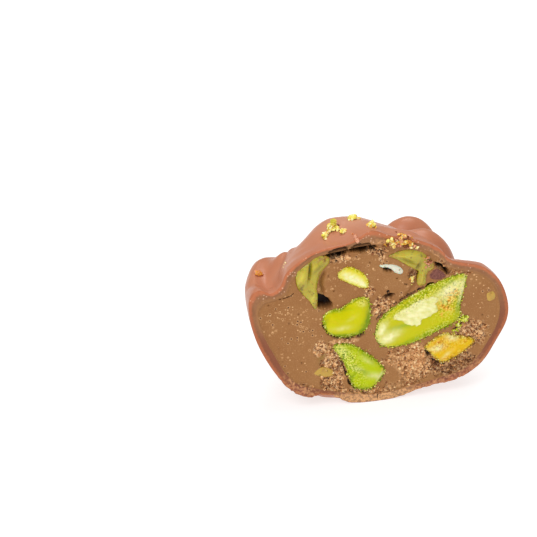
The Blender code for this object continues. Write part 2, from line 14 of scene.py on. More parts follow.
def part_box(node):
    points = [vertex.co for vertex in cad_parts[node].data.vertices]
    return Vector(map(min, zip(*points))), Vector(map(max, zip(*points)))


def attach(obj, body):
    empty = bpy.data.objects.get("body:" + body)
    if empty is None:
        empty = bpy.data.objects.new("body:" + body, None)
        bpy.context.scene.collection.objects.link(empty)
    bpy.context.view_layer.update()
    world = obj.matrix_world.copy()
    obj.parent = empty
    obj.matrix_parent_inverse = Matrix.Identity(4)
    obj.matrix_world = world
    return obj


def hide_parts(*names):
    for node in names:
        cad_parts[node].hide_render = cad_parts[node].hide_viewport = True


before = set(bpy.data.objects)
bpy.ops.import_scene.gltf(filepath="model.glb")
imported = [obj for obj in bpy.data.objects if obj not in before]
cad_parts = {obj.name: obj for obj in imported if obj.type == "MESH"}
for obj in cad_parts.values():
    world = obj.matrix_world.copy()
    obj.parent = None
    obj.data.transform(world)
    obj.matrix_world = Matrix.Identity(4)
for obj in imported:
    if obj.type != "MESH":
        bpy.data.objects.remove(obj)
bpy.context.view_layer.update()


# Pistachio kernels: five nuts sliced by the knife, three green and two yellow. They are moulded
# into the filling, so only the cut faces show, each a little proud with its skin as a rough rim.
BOX_CENTRE = 0.000066       # metres from the cut's middle to the middle of the model's box
CUT_TO_MODEL = Matrix.Translation((-BOX_CENTRE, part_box("coating")[0].y, 0)) @ Matrix.Scale(0.001, 4)
SEAT = 0.12  # a piece's outline lies this far behind the cut
CELL = 0.12  # spacing of the points on a piece that is set in the cut
# Outline on the cut as (x, z), rise and width of the rounded edge, depth behind. The other lists are
# soft spots as x, z, turn in degrees, half length, half width and strength: dents (negative: ridges),
# pale meat (at the bean's left middle and the large nut's lower left end a painted highlight), amber
# skin stains, deeper green and rough broken flesh.
KERNELS = dict(
    kernel_large=dict(
        outline=[(13, 18.9), (12.6, 16.4), (12.2, 14.4), (12.3, 12.7), (11.2, 11.6), (8.6, 10.4), (5.4, 9.1),
                 (2.2, 8.7), (0.2, 9.3), (-0.6, 11), (0, 13.3), (2.2, 15.3), (5.6, 17.3), (9, 18.8),
                 (12, 19.6)],
        rise=0.34, round=0.9, depth=3.4,
        dents=[(3.4, 12.3, 8, 2, 0.5, 0.12), (8.2, 12, 20, 2, 0.7, 0.1)],
        pale=[(0.3, 11.9, 62, 1.3, 0.6, 0.75), (1.4, 10.5, 28, 1.7, 0.8, 0.9),
              (11.2, 18.2, 20, 1.6, 0.5, 0.35), (9.3, 16.9, 28, 1.5, 0.7, 0.5),
              (12.3, 16.9, 80, 1.8, 0.35, 0.7), (10.7, 16.8, 45, 1.8, 0.9, 0.9)],
        amber=[(10.5, 15.9, 40, 1.5, 0.7, 1), (9.8, 14.5, -25, 1.3, 0.7, 1),
               (9.3, 13.4, -55, 0.7, 0.25, 0.8), (11.4, 16.9, 40, 0.8, 0.4, 0.5)],
        green=[(3.5, 12.1, 8, 2, 0.4, 0.8), (11.8, 14.2, 80, 1.6, 0.55, 1), (5.6, 16.5, 33, 4, 0.35, 0.7),
               (8.2, 10.8, 22, 3.2, 0.55, 0.9), (5, 9.6, 16, 2.2, 0.4, 0.7),
               (10.4, 18.6, 20, 1.6, 0.4, 0.7)],
        rough=[(10.9, 16, 60, 3.2, 1.7, 0.8), (6.5, 16.8, 31, 5, 0.7, 0.9), (9, 11, 22, 3.2, 0.7, 0.8)]),
    kernel_bean=dict(
        outline=[(-8.4, 14.8), (-7.4, 15.9), (-5.7, 16), (-4.4, 16.9), (-3, 17.5), (-1.7, 17.1),
                 (-1.3, 15.4), (-1.4, 13.1), (-2.6, 11.6), (-4.7, 11.2), (-6.9, 11.7), (-8.1, 13)],
        rise=0.85, round=1.9, depth=3.2,
        dents=[(-4.7, 15.4, -55, 1.6, 0.8, 0.2)],
        pale=[(-5.7, 13.1, 5, 1.3, 0.4, 0.3), (-4.3, 14.5, 30, 0.9, 0.3, 0.12),
              (-2.6, 16.7, 0, 0.7, 0.4, 0.2)],
        amber=[(-6.9, 14.4, 10, 1.2, 0.6, 0.12)],
        green=[(-1.5, 14.6, 85, 1.8, 0.6, 1), (-2.2, 12.6, 50, 1.6, 0.9, 0.9), (-5.4, 11.6, 0, 2.8, 0.5, 1),
               (-8.2, 13.6, 70, 1.2, 0.3, 0.8), (-6.2, 15.8, 5, 1.8, 0.3, 0.6)],
        rough=[(-2.6, 16.9, 0, 1, 0.5, 0.7), (-4, 11.7, 0, 1.6, 0.3, 0.6)]),
    kernel_low=dict(
        outline=[(-6.8, 9.8), (-5.3, 10.2), (-3.5, 9.6), (-1.7, 8.2), (0.1, 6.4), (1, 5), (0.3, 3.5),
                 (-1.1, 2.2), (-2.7, 2.2), (-3.9, 3.1), (-4.5, 4.9), (-5.3, 7.2)],
        rise=0.5, round=1.2, depth=2.8,
        dents=[(-1.8, 7.2, -40, 1.3, 0.3, -0.16), (-0.9, 4.6, -12, 1.3, 0.35, -0.14),
               (-3.3, 6.1, -25, 1.1, 0.4, -0.14), (-2.2, 5.4, -30, 1.4, 0.3, 0.14)],
        pale=[(-5.6, 9.2, -30, 1, 0.7, 0.3), (-4.6, 8, -40, 1, 0.6, 0.1), (-1.8, 7.2, -40, 1.2, 0.35, 0.25),
              (-0.7, 4.5, -10, 1.2, 0.5, 0.4), (-3.4, 6.1, -25, 1.1, 0.4, 0.3),
              (0.4, 4.6, 60, 1.2, 0.25, 0.5)],
        amber=[(0.8, 5.4, 70, 0.7, 0.25, 0.8)],
        green=[(-4.2, 3.9, 70, 1.6, 0.35, 1), (-2.3, 2.4, 0, 1.4, 0.4, 1), (-2.3, 5.3, -30, 1.6, 0.35, 0.5),
               (-5.4, 7.6, 75, 1.6, 0.3, 0.6), (-2.6, 8.5, -42, 2, 0.25, 0.5)],
        rough=[(-5, 8.6, -40, 2.4, 1, 1), (-3.8, 6, -50, 2.2, 0.7, 0.7), (-3.2, 3.4, -30, 1.2, 0.6, 0.5)]),
    kernel_yellow=dict(
        outline=[(-6.3, 21.6), (-5.4, 22.5), (-4.1, 22.5), (-2.6, 21.5), (-1.7, 20.2), (-1.7, 19),
                 (-2.8, 19), (-4.6, 19.9), (-6, 20.8)],
        rise=0.3, round=0.7, depth=2,
        dents=[(-3.8, 20.7, -32, 1.8, 0.5, 0.1)],
        pale=[(-4.3, 20.9, -30, 1.7, 0.65, 1), (-2.8, 19.8, -40, 1, 0.4, 0.8)],
        amber=[],
        green=[(-4.4, 22.2, -20, 1.6, 0.2, 0.3), (-2, 20.2, -70, 1.2, 0.2, 0.2),
               (-5.9, 21.9, 60, 0.6, 0.2, 0.3)],
        rough=[(-4, 20.6, -30, 2.2, 0.3, 0.25)]),
    kernel_gold=dict(
        outline=[(7, 8.2), (8.4, 9.4), (10, 10.1), (12, 9.4), (14.4, 8.6), (13.8, 7.4), (12, 6.1),
                 (10.1, 5.3), (9, 5.7), (7.9, 7)],
        rise=0.34, round=0.8, depth=2.4,
        dents=[(9.9, 8.7, 70, 1.2, 0.3, 0.14), (11.9, 7.6, 35, 1.6, 0.4, -0.14),
               (8.6, 7.2, 40, 1, 0.3, -0.1)],
        pale=[(8.8, 7.9, 10, 1.1, 0.5, 0.75), (11, 9.3, -10, 1, 0.45, 0.7),
              (10.2, 6.6, 40, 1.2, 0.3, 0.3)],
        amber=[(8.9, 8.9, 20, 0.9, 0.4, 1), (13.2, 8.7, 20, 0.7, 0.3, 0.7), (10.3, 6, 20, 1.4, 0.3, 0.7),
               (10.1, 8.1, 60, 0.9, 0.25, 0.8), (12.6, 6.9, 35, 1, 0.2, 0.5)],
        green=[(10.4, 9.9, 0, 0.7, 0.3, 0.35)],
        rough=[(9.4, 8.4, 20, 2.2, 1, 0.55), (10.8, 6.1, 25, 2.6, 0.4, 0.6),
               (12.6, 8.4, 20, 1.6, 0.4, 0.3)]))
# Where the large nut's broken meat shows as a pale plate with steep edges
WHITE_MEAT = [(1.9, 13.9), (3, 13.1), (4.3, 12.3), (5.6, 12), (6.2, 12.3), (6.2, 12.8), (7, 13.2), (8, 13.6),
              (8.7, 14.2), (8.4, 15.3), (8.9, 16.2), (7.4, 16.5), (5.9, 16.1), (4.8, 15.6), (3.7, 15),
              (2.8, 14.5)]


def smoothstep(low, high, value):
    f = min(max((value - low) / (high - low), 0.0), 1.0)
    return f * f * (3 - 2 * f)


def bell(value, middle, half_width):
    return math.exp(-((value - middle) / half_width) ** 2)


def dome(f):
    """Rise from 0 to 1, steep at the start and flat at the end."""
    return 1 - (1 - min(f, 1)) ** 2


def curved(a, b, c, d, f):
    """Place at f, 0 to 1, of a smooth curve from b to c that has a before it and d after it."""
    return 0.5 * (2 * b + (c - a) * f + (2 * a - 5 * b + 4 * c - d) * f * f
                  + (3 * b - a - 3 * c + d) * f ** 3)


def grit(x, z, size, seed=0.0):
    """Soft random value from -1 to 1 over the cut face, in grains of a size in mm."""
    return noise.noise(Vector((x / size + seed, seed, z / size)))


def closed_curve(points, per_side=4):
    """Smooth closed outline through a few points, as 2D vectors."""
    p = [Vector(point) for point in points]
    sides = zip(p[-1:] + p[:-1], p, p[1:] + p[:1], p[2:] + p[:2])
    return [curved(*side, k / per_side) for side in sides for k in range(per_side)]


def depth_inside(loop, x, z):
    """Distance from a point to an outline, positive inside, and the nearest point of the outline."""
    nearest, best, inside = None, 1e9, False
    ax, az = loop[-1]
    for bx, bz in loop:
        dx, dz = bx - ax, bz - az
        f = min(max(((x - ax) * dx + (z - az) * dz) / (dx * dx + dz * dz), 0.0), 1.0)
        px, pz = ax + f * dx, az + f * dz
        gap = (x - px) ** 2 + (z - pz) ** 2
        if gap < best:
            best, nearest = gap, (px, pz)
        if (az > z) != (bz > z) and x < ax + (z - az) * dx / dz:
            inside = not inside
        ax, az = bx, bz
    return (math.sqrt(best) if inside else -math.sqrt(best)), nearest


def soft_spots(spots, x, z):
    """Sum of long soft spots: x, z, turn in degrees, half length, half width, strength."""
    total = 0.0
    for sx, sz, turn, length, width, strength in spots:
        a = math.radians(turn)
        along = (x - sx) * math.cos(a) + (z - sz) * math.sin(a)
        across = (z - sz) * math.cos(a) - (x - sx) * math.sin(a)
        total += strength * math.exp(-(along / length) ** 2 - (across / width) ** 2)
    return total


def as_object(bm, name):
    """Turns a bmesh in mm into an object of the model, smooth, with its place in its mesh."""
    bmesh.ops.recalc_face_normals(bm, faces=bm.faces[:])
    bmesh.ops.transform(bm, matrix=CUT_TO_MODEL, verts=bm.verts[:])
    mesh = bpy.data.meshes.new(name)
    bm.to_mesh(mesh)
    bm.free()
    mesh.shade_smooth()
    piece = bpy.data.objects.new(name, mesh)
    bpy.context.scene.collection.objects.link(piece)
    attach(piece, "root")
    return piece


def back_of(piece, inside):
    """How far a piece reaches behind its seat: rounded over its widest, or its depth, then flat."""
    return piece["depth"] * math.sqrt(dome(inside / piece.get("widest", piece["depth"])))


def set_in_cut(piece, front):
    """Closed piece with its outline in the cut: a grid trimmed to the outline, doubled into a front
    and a back sheet. front gives a point's place in y from x, z and its distance inside."""
    bm = bmesh.new()
    loop = piece["loop"] = closed_curve(piece["outline"])
    low = Vector((min(p.x for p in loop), min(p.y for p in loop)))
    size = Vector((max(p.x for p in loop), max(p.y for p in loop))) - low
    place = Matrix.Translation((low + size / 2).to_3d())
    place @= Matrix.Diagonal((size.x / 2 + CELL, size.y / 2 + CELL, 1, 1))
    across, up = (math.ceil(length / CELL) + 2 for length in size)
    bmesh.ops.create_grid(bm, x_segments=across, y_segments=up, size=1, matrix=place)
    inside = bm.verts.layers.float.new("inside")
    for vert in bm.verts:
        vert[inside] = depth_inside(loop, vert.co.x, vert.co.y)[0]
    bmesh.ops.delete(bm, geom=[v for v in bm.verts if v[inside] < -0.45 * CELL], context="VERTS")
    bmesh.ops.delete(bm, geom=[v for v in bm.verts if len(v.link_faces) < 1], context="VERTS")
    for vert in bm.verts:
        if vert.is_boundary:
            vert.co.xy = depth_inside(loop, vert.co.x, vert.co.y)[1]
            vert[inside] = 0
    rear = bmesh.ops.duplicate(bm, geom=bm.verts[:] + bm.edges[:] + bm.faces[:])["geom"]
    rear = {v for v in rear if isinstance(v, bmesh.types.BMVert)}
    for vert in bm.verts:
        x, z = vert.co.xy
        deep = max(vert[inside], 0)
        vert.co = (x, SEAT + back_of(piece, deep) if vert in rear else front(x, z, deep), z)
    bmesh.ops.remove_doubles(bm, verts=bm.verts[:], dist=0.002)
    return bm


def broken_meat(x, z):
    """Share of the large nut's pale plate at a point, with a ragged edge."""
    inside = depth_inside(WHITE_LOOP, x, z)[0] + 0.22 * grit(x, z, 0.6, 2) + 0.1 * grit(x, z, 0.25, 7)
    return smoothstep(-0.08, 0.12, inside)


def nut_front(name, x, z, inside):
    """Front of a sliced nut: crowned, with dents, rough skin and a plate of broken meat."""
    nut = KERNELS[name]
    crown = nut["rise"] * dome(inside / nut["round"])
    rough = 0.02 + 0.11 * min(soft_spots(nut["rough"], x, z), 1) + 0.05 * smoothstep(0.7, 0.2, inside)
    crown += rough * (grit(x, z, 0.5) + 0.7 * grit(x, z, 0.24, 5)) * smoothstep(0, 0.25, inside)
    crown -= soft_spots(nut["dents"], x, z)
    if name == "kernel_large":
        crown += broken_meat(x, z) * (0.17 + 0.12 * grit(x + z, 2 * z, 0.9, 8))
    return SEAT - crown


def new_material(name, roughness, subsurface=0.0, reach=0.0008, specular=0.5):
    """Material with an empty colour socket to fill; gives the tree and its Principled shader."""
    material = bpy.data.materials.new(name)
    material.use_nodes = True
    shader = material.node_tree.nodes["Principled BSDF"]
    for socket, value in (("Roughness", roughness), ("Specular IOR Level", specular),
                          ("Subsurface Weight", subsurface), ("Subsurface Scale", reach)):
        shader.inputs[socket].default_value = value
    return material, material.node_tree, shader


def tint(red, green, blue):
    """Linear colour of a screen colour from 0 to 255."""
    return (*(((c / 255 + 0.055) / 1.055) ** 2.4 if c > 10 else c / 3294 for c in (red, green, blue)), 1)


def add(tree, kind, inputs={}, **settings):
    """New shader node. An input is given a number, a screen colour, the output that feeds it, or the
    name of a value that the mesh carries in each vertex."""
    node = tree.nodes.new("ShaderNode" + kind)
    for name, value in settings.items():
        setattr(node, name, value)
    for name, value in inputs.items():
        if isinstance(value, str):
            value = add(tree, "Attribute", attribute_name=value).outputs["Fac"]
        if isinstance(value, bpy.types.NodeSocket):
            tree.links.new(value, node.inputs[name])
        else:
            node.inputs[name].default_value = tint(*value) if isinstance(value, tuple) else value
    return node


def mixed(tree, share, first, second):
    return add(tree, "Mix", {0: share, 6: first, 7: second}, data_type="RGBA").outputs[2]


def painted(tree, colour, *coats):
    """Colour with others laid over it in order, each given as its share and its colour."""
    for share, shade in coats:
        colour = mixed(tree, share, colour, shade)
    return colour


def ramp(tree, value, low, high):
    """Value as 0 to 1 between two limits, with soft ends."""
    return add(tree, "MapRange", {"Value": value, "From Min": low, "From Max": high},
               interpolation_type="SMOOTHSTEP").outputs["Result"]


def worked(tree, operation, first, second):
    return add(tree, "Math", {0: first, 1: second}, operation=operation).outputs[0]


def times(tree, *values):
    """Product of several values."""
    total = values[0]
    for value in values[1:]:
        total = worked(tree, "MULTIPLY", total, value)
    return total


def new_group(name, inputs, outputs):
    """Empty shader node group with float sockets; gives its tree and its two end nodes."""
    group = bpy.data.node_groups.new(name, "ShaderNodeTree")
    for socket in inputs:
        group.interface.new_socket(socket, in_out="INPUT", socket_type="NodeSocketFloat")
    for socket in outputs:
        group.interface.new_socket(socket, in_out="OUTPUT", socket_type="NodeSocketFloat")
    return group, group.nodes.new("NodeGroupInput"), group.nodes.new("NodeGroupOutput")


# grain: soft cloudy variation and its height, from object coordinates; size is in grains per mm
grain, grain_in, grain_out = new_group("grain", ["Grains per mm", "Contrast"], ["Tone", "Height"])
where = add(grain, "TexCoord").outputs["Object"]
scale = times(grain, grain_in.outputs["Grains per mm"], 1000)
clouds = add(grain, "TexNoise", {"Vector": where, "Scale": scale, "Detail": 3.0, "Roughness": 0.6})
cloud = clouds.outputs["Fac"]
spread = times(grain, worked(grain, "SUBTRACT", cloud, 0.5), grain_in.outputs["Contrast"])
tone = add(grain, "Math", {0: spread, 1: 0.5}, operation="ADD", use_clamp=True).outputs[0]
grain.links.new(tone, grain_out.inputs["Tone"])
grain.links.new(cloud, grain_out.inputs["Height"])

# specks: scattered grains; size is in cells per mm, Amount the share of cells that have one. Dots are
# round and soft, Rims the rings round them, Lot a random value for each cell
specks, specks_in, specks_out = new_group("specks", ["Cells per mm", "Amount"], ["Dots", "Rims", "Lot"])
where = add(specks, "TexCoord").outputs["Object"]
scale = times(specks, specks_in.outputs["Cells per mm"], 1000)
cells = add(specks, "TexVoronoi", {"Vector": where, "Scale": scale})
lots = add(specks, "SeparateColor", {"Color": cells.outputs["Color"]})
drawn = worked(specks, "LESS_THAN", lots.outputs["Red"], specks_in.outputs["Amount"])
dot = ramp(specks, cells.outputs["Distance"], 0.38, 0.2)
ring = ramp(specks, cells.outputs["Distance"], 0.65, 0.45)
ring = times(specks, ring, worked(specks, "SUBTRACT", 1.0, dot))
specks.links.new(times(specks, drawn, dot), specks_out.inputs["Dots"])
specks.links.new(times(specks, drawn, ring), specks_out.inputs["Rims"])
specks.links.new(lots.outputs["Green"], specks_out.inputs["Lot"])


def place_group(tree, group, *values):
    """Puts a group in a material; its inputs are given in order as values or outputs."""
    return add(tree, "Group", dict(enumerate(values)), node_tree=group).outputs


def finished(tree, shader, colour, height, strength, distance):
    """Gives a shader its colour and its micro relief: the height in mm moves the shading normal."""
    tree.links.new(colour, shader.inputs["Base Color"])
    bump = add(tree, "Bump", {"Height": height, "Strength": strength, "Distance": distance * 0.001})
    tree.links.new(bump.outputs["Normal"], shader.inputs["Normal"])


def nut_material(name, meat, green, deep, stain, roughness):
    """Nut flesh from the soft spots that the mesh carries, speckled at the skin and where it is rough."""
    material, tree, shader = new_material(name, roughness, subsurface=0.1, specular=0.12)
    cloud, fine, streaks = (place_group(tree, grain, *kind) for kind in ((0.9, 2.2), (3.6, 3.2), (1.8, 3.0)))
    uneven = worked(tree, "ADD", times(tree, cloud["Tone"], 0.7), 0.65)
    rim = ramp(tree, worked(tree, "ADD", "inside", times(tree, cloud["Tone"], 0.3)), 0.62, 0.2)
    rough = worked(tree, "MAXIMUM", "rough", rim)
    amber = mixed(tree, fine["Tone"], stain, (248, 190, 62))
    colour = painted(
        tree, meat, (times(tree, "green", uneven), green), (times(tree, rim, 0.6), green),
        # pale meat, and a painted highlight at the bean's left middle and the large nut's lower left end
        (times(tree, "pale", uneven), (250, 246, 186)),
        (times(tree, "amber", ramp(tree, streaks["Tone"], 0.24, 0.55)), amber),
        (times(tree, ramp(tree, fine["Tone"], 0.45, 0.15), rough, 0.9), deep),
        (times(tree, ramp(tree, fine["Tone"], 0.56, 0.82), rough, 0.9), (244, 236, 132)))
    finished(tree, shader, colour, times(tree, fine["Height"], worked(tree, "ADD", rough, 0.12)), 0.6, 0.14)
    return material


# Finish of each nut: name, colours of the meat, of the green rim, of deep specks and of stains, roughness
SKINS = dict(
    kernel_large=("lime_kernel", (202, 198, 14), (154, 174, 0), (92, 112, 0), (206, 116, 16), 0.38),
    kernel_bean=("bean_kernel", (206, 202, 0), (128, 156, 0), (118, 132, 0), (206, 150, 0), 0.3),
    kernel_low=("low_kernel", (188, 202, 0), (142, 168, 0), (88, 116, 0), (214, 150, 20), 0.35),
    kernel_yellow=("yellow_kernel", (228, 214, 30), (202, 200, 4), (180, 160, 10), (206, 150, 30), 0.35),
    kernel_gold=("gold_kernel", (232, 186, 8), (196, 184, 40), (150, 84, 10), (180, 88, 24), 0.4))
GOLDEN = ("kernel_yellow", "kernel_gold")
WHITE_LOOP = closed_curve(WHITE_MEAT, 2)
for name, nut in KERNELS.items():
    bm = set_in_cut(nut, lambda x, z, inside: nut_front(name, x, z, inside))
    layers = {key: bm.verts.layers.float.new(key) for key in ("pale", "amber", "green", "rough")}
    for vert in bm.verts:
        x, z = vert.co.x, vert.co.z
        for key, layer in layers.items():
            vert[layer] = min(soft_spots(nut[key], x, z) * (1 + 0.5 * grit(x, z, 0.5, 4)), 1)
        if name == "kernel_large":
            plate = broken_meat(x, z)
            pale = plate * (0.8 + 0.35 * grit(x + z, 2 * z, 0.8, 8))
            vert[layers["pale"]] = max(vert[layers["pale"]], pale)
            vert[layers["green"]] *= 1 - plate
            vert[layers["amber"]] *= 1 - 0.7 * plate
    piece = as_object(bm, name + "_nut")
    piece.data.materials.append(nut_material(*SKINS[name]))
    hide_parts(name)


# Pistachio cream and small slivers: two smears of soft green cream that lay against the coating,
# a pale sliver of nut under the right one, and two crumbs of nut lying flat in the cut.
# Outline on the cut, rise of the front, depth behind and width of the rounded edge
SMALL_PIECES = dict(
    cream_left=dict(
        outline=[(-12.5, 22.2), (-12.2, 22.9), (-11.4, 23.4), (-10.4, 24), (-9.6, 24.7), (-8.7, 24.9),
                 (-7.6, 24.4), (-7.6, 23.5), (-8.5, 22.5), (-9, 21.4), (-9.3, 20), (-9.2, 18.4),
                 (-9.3, 16.3), (-9.8, 16.5), (-10.4, 17.6), (-11.2, 18.6), (-12.1, 19.9), (-12.4, 21.1)],
        rise=0.34, depth=2, widest=1),
    cream_right=dict(
        outline=[(1.2, 23.6), (2.4, 24.1), (4.2, 24.4), (5.8, 24), (7, 23.1), (7.9, 22), (8.1, 21),
                 (7.2, 20.4), (6.9, 19.4), (6.9, 18.5), (5.8, 18.4), (5.6, 19.4), (5.8, 20.6), (5, 21.2),
                 (3.8, 22), (2.4, 23)], rise=0.26, depth=2.2, widest=0.9),
    white_sliver=dict(
        outline=[(-0.3, 22.4), (1.2, 22.4), (2.8, 21.9), (3.5, 21), (3.1, 20.5), (2.2, 20.9), (1.7, 21.5),
                 (0.9, 21.9), (0.3, 21.9)], rise=0.14, depth=0.9, widest=0.4),
    bit_right=dict(
        outline=[(16, 16), (17.1, 16.3), (17.6, 15.4), (17.1, 14.5), (16.2, 14.7)],
        rise=0.14, depth=0.8, widest=0.8),
    bit_low=dict(
        outline=[(-9.8, 5.7), (-8.8, 6.5), (-7.8, 6.5), (-6.8, 5.8), (-6.9, 5), (-8.6, 5)],
        rise=0.17, depth=0.9, widest=0.9))
# Soft spots of the small pieces: folds (negative: ridges), reddish stains, lit and shaded places
CREAM_FOLDS = [(-10.4, 22.6, 84, 1.5, 0.2, 0.7), (-11.4, 21, 70, 1.6, 0.45, -0.28),
               (-9.7, 20.2, 82, 2.4, 0.3, -0.22), (-9, 24, 30, 0.9, 0.3, 0.25),
               (4.3, 22.6, -28, 1.6, 0.2, 0.3), (6.3, 20.2, 82, 1.6, 0.22, -0.3),
               (2.8, 23.6, -5, 1.2, 0.25, -0.2), (5.6, 21.6, 60, 0.8, 0.15, 0.25)]
STAINS = [(7.3, 21.9, -60, 1, 0.5, 1), (-8.4, 24.3, 20, 0.9, 0.35, 0.9), (1.6, 23.4, 0, 0.6, 0.35, 0.8),
          (-9.5, 17, 60, 0.7, 0.3, 0.5), (6.4, 18.6, 0, 0.6, 0.2, 0.5), (-8.9, 22.4, 60, 0.8, 0.2, 0.6)]
LIT = [(-11.7, 21.6, 75, 1.5, 0.4, 0.9), (6.3, 19.8, 85, 1.2, 0.3, 0.3), (-9.8, 18.6, 70, 1.6, 0.4, 0.8),
       (3.8, 23.6, -5, 1.8, 0.4, 0.6), (-9.6, 23.4, 40, 0.8, 0.3, 0.4)]
SHADED = [(-10.4, 22.8, 84, 1.2, 0.2, 1), (5.7, 21.6, 60, 0.9, 0.3, 0.8), (-12, 20.4, 60, 1, 0.25, 0.5),
          (4.2, 22.5, -28, 1.5, 0.25, 0.5), (-9.2, 23, 45, 1.2, 0.25, 0.6)]


def small_front(small, x, z, inside):
    folds = soft_spots(CREAM_FOLDS, x, z) + 0.06 * grit(x, z, 0.8, 9) + 0.03 * grit(x, z, 0.3, 2)
    return SEAT - small["rise"] * dome(inside / small["widest"]) + smoothstep(0, 0.4, inside) * folds


def small_material(name, body, shadow, light, roughness, glow):
    """Soft piece: body colour with lit, shaded and reddish places and a few brown specks."""
    material, tree, shader = new_material(name, roughness, subsurface=glow)
    cloud, fine = (place_group(tree, grain, *kind) for kind in ((0.8, 2.4), (2.8, 2.8)))
    colour = painted(
        tree, body, ("lit", light),
        (worked(tree, "MAXIMUM", "shaded", ramp(tree, cloud["Tone"], 0.4, 0.0)), shadow),
        (times(tree, "stain", ramp(tree, fine["Tone"], 0.25, 0.6)), (158, 92, 52)),
        (times(tree, place_group(tree, specks, 1.8, 0.16)["Dots"], 0.6), (120, 84, 22)))
    finished(tree, shader, colour, fine["Height"], 0.35, 0.1)
    return material


# By the first word of a piece's node: last word of its name, slot and finish
SOFT_FINISHES = dict(
    cream=("_soft", "pistachio_cream",
           small_material("pistachio_cream", (182, 166, 44), (120, 102, 18), (216, 202, 70), 0.3, 0.3)),
    white=("_nut", "nut_pale",
           small_material("pale_sliver", (226, 224, 202), (206, 208, 188), (240, 238, 222), 0.35, 0.2)),
    bit=("_nut", "pistachio_golden",
         small_material("golden_bit", (196, 156, 60), (182, 136, 62), (212, 176, 70), 0.42, 0.1)))
for name, small in SMALL_PIECES.items():
    bm = set_in_cut(small, lambda x, z, inside: small_front(small, x, z, inside))
    for key, spots in (("stain", STAINS), ("lit", LIT), ("shaded", SHADED)):
        layer = bm.verts.layers.float.new(key)
        for vert in bm.verts:
            vert[layer] = min(soft_spots(spots, vert.co.x, vert.co.z), 1)
    ending, slot, finish = SOFT_FINISHES[name.split("_")[0]]
    piece = as_object(bm, name + ending)
    piece.data.materials.append(finish)
    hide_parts(name)


# Soft chocolate filling: a firm milk ganache, rolled and pressed round the nuts. The knife left it
# smooth on the left and in the middle, crumbly along the foot, with pores and a few open hollows.
POLE_LEAN, CROWN_HEIGHT, INNER_TOP = -1.5, 28.1, 25.8
# Edge of the filling at the cut, from the foot's middle to the top, as (x, z), right and left side
INNER_RIGHT = [(0, 1.2), (6.5, 2.2), (9.4, 2.8), (12.6, 3.6), (14.7, 5.2), (16.4, 7.9), (17.8, 10.8),
               (18.1, 13.9), (17, 17.2), (14.9, 19.2), (12, 20.2), (10, 21.1), (8.2, 23), (5.3, 24.6),
               (1.4, 25.4), (POLE_LEAN, INNER_TOP)]
INNER_LEFT = [(0, 1.2), (-6.5, 2.4), (-9.4, 3.3), (-12, 4.3), (-13.9, 6.4), (-15.4, 9.3), (-16.9, 12.4),
              (-17.8, 15.3), (-17.8, 17.1), (-16.9, 18.1), (-15.3, 18.5), (-13.8, 19.3), (-12.9, 21.4),
              (-10.2, 24.4), (-5.5, 25.4), (POLE_LEAN, INNER_TOP)]
INNER_BACK = [(0, 1.2), (8.6, 1.3), (11.2, 2.3), (12.5, 3.9), (13.7, 6), (15, 9), (16.2, 12.2), (16.8, 15.2),
              (16.5, 17.1), (15.3, 18.2), (13.5, 18.5), (11.7, 19.4), (9.6, 22.1), (6.8, 24.1), (3.2, 25.5),
              (0, INNER_TOP)]
FILLING_ROWS, FILLING_COLUMNS, FILLING_BODY = 14, 290, 22
FILLING_OVERLAP = 0.12      # the filling reaches this far under the coating
# Broken patches of the face: x, z, half width, half height, depth, and how light their crumbs are
CRUMBLY = [(4.2, 5, 3.6, 3.3, 0.75, 0.5), (-6.9, 5.6, 1.7, 4.2, 0.6, 0.1), (14, 9.6, 2.3, 2.2, 0.6, 0),
           (11.6, 4.7, 4.4, 1.7, 0.8, -0.8), (0.6, 15.2, 1.6, 1.9, 0.55, 0.1),
           (-1.5, 18.2, 0.9, 0.9, 0.5, -0.3), (-3.2, 1.6, 5.6, 0.9, 0.5, 0.3),
           (-8.7, 9.6, 1, 1.3, 0.35, 0.2), (-5.2, 10.5, 2.2, 0.5, 0.3, 0.7),
           (-11.8, 3.4, 1.9, 0.9, 0.4, -0.6), (12.4, 20, 1.7, 0.6, 0.35, -0.1), (-6.3, 24, 2, 0.5, 0.3, 0.3),
           (5.8, 6.6, 1.3, 2.4, 0.4, 1), (4.9, 20.3, 0.7, 1, 0.5, -1), (-0.4, 24.6, 1.6, 0.5, 0.3, -0.3),
           (9.4, 21.6, 0.9, 1.2, 0.4, -0.5), (0.2, 23.6, 0.5, 0.8, 0.25, -0.3)]
SMOOTH_FLATS = [(1.8, 4.2, -50, 2.4, 1.5, 1.4), (-1.6, 9.6, 0, 2, 1.6, 1)]
PORES = [(-12, 15.7, 0.28), (-13.4, 14.4, 0.22), (-14.3, 14.7, 0.2), (-10.3, 12.9, 0.24), (-11.6, 10.7, 0.2),
         (-14.9, 10.5, 0.2), (-11.5, 7.6, 0.22), (-16.5, 17.7, 0.2), (-15.4, 16.9, 0.18), (-14.3, 8.1, 0.24),
         (-6.8, 18.9, 0.22), (2.6, 19.9, 0.24), (-1.5, 22.9, 0.22), (15.6, 12.4, 0.2), (-7.6, 21.4, 0.26)]
# Places with many pinholes, and places stained green by the cream, as soft spots
PITTED = [(-13, 15.2, 0, 4.2, 2.4, 1), (-12.5, 9, 70, 4.5, 2.6, 0.5), (-4.8, 23.9, 10, 4, 0.6, 1),
          (12.6, 19, -20, 3, 1, 1), (-2, 22.6, 0, 3.6, 1, 0.4), (-7.6, 19.4, 60, 1.6, 0.6, 0.8),
          (-9.2, 10.6, 60, 1.6, 0.6, 1), (15.2, 16.6, 0, 1.6, 1, 0.6)]
OLIVE = [(-8.2, 8.9, 65, 1.3, 0.5, 0.9), (-8.4, 23.4, 40, 1.2, 0.5, 0.6), (-8.6, 20, 85, 2.6, 0.35, 0.4)]
ROLL = (-1.4, 20.4, 7.2, 5)     # middle, half width and half height of the rolled-up part
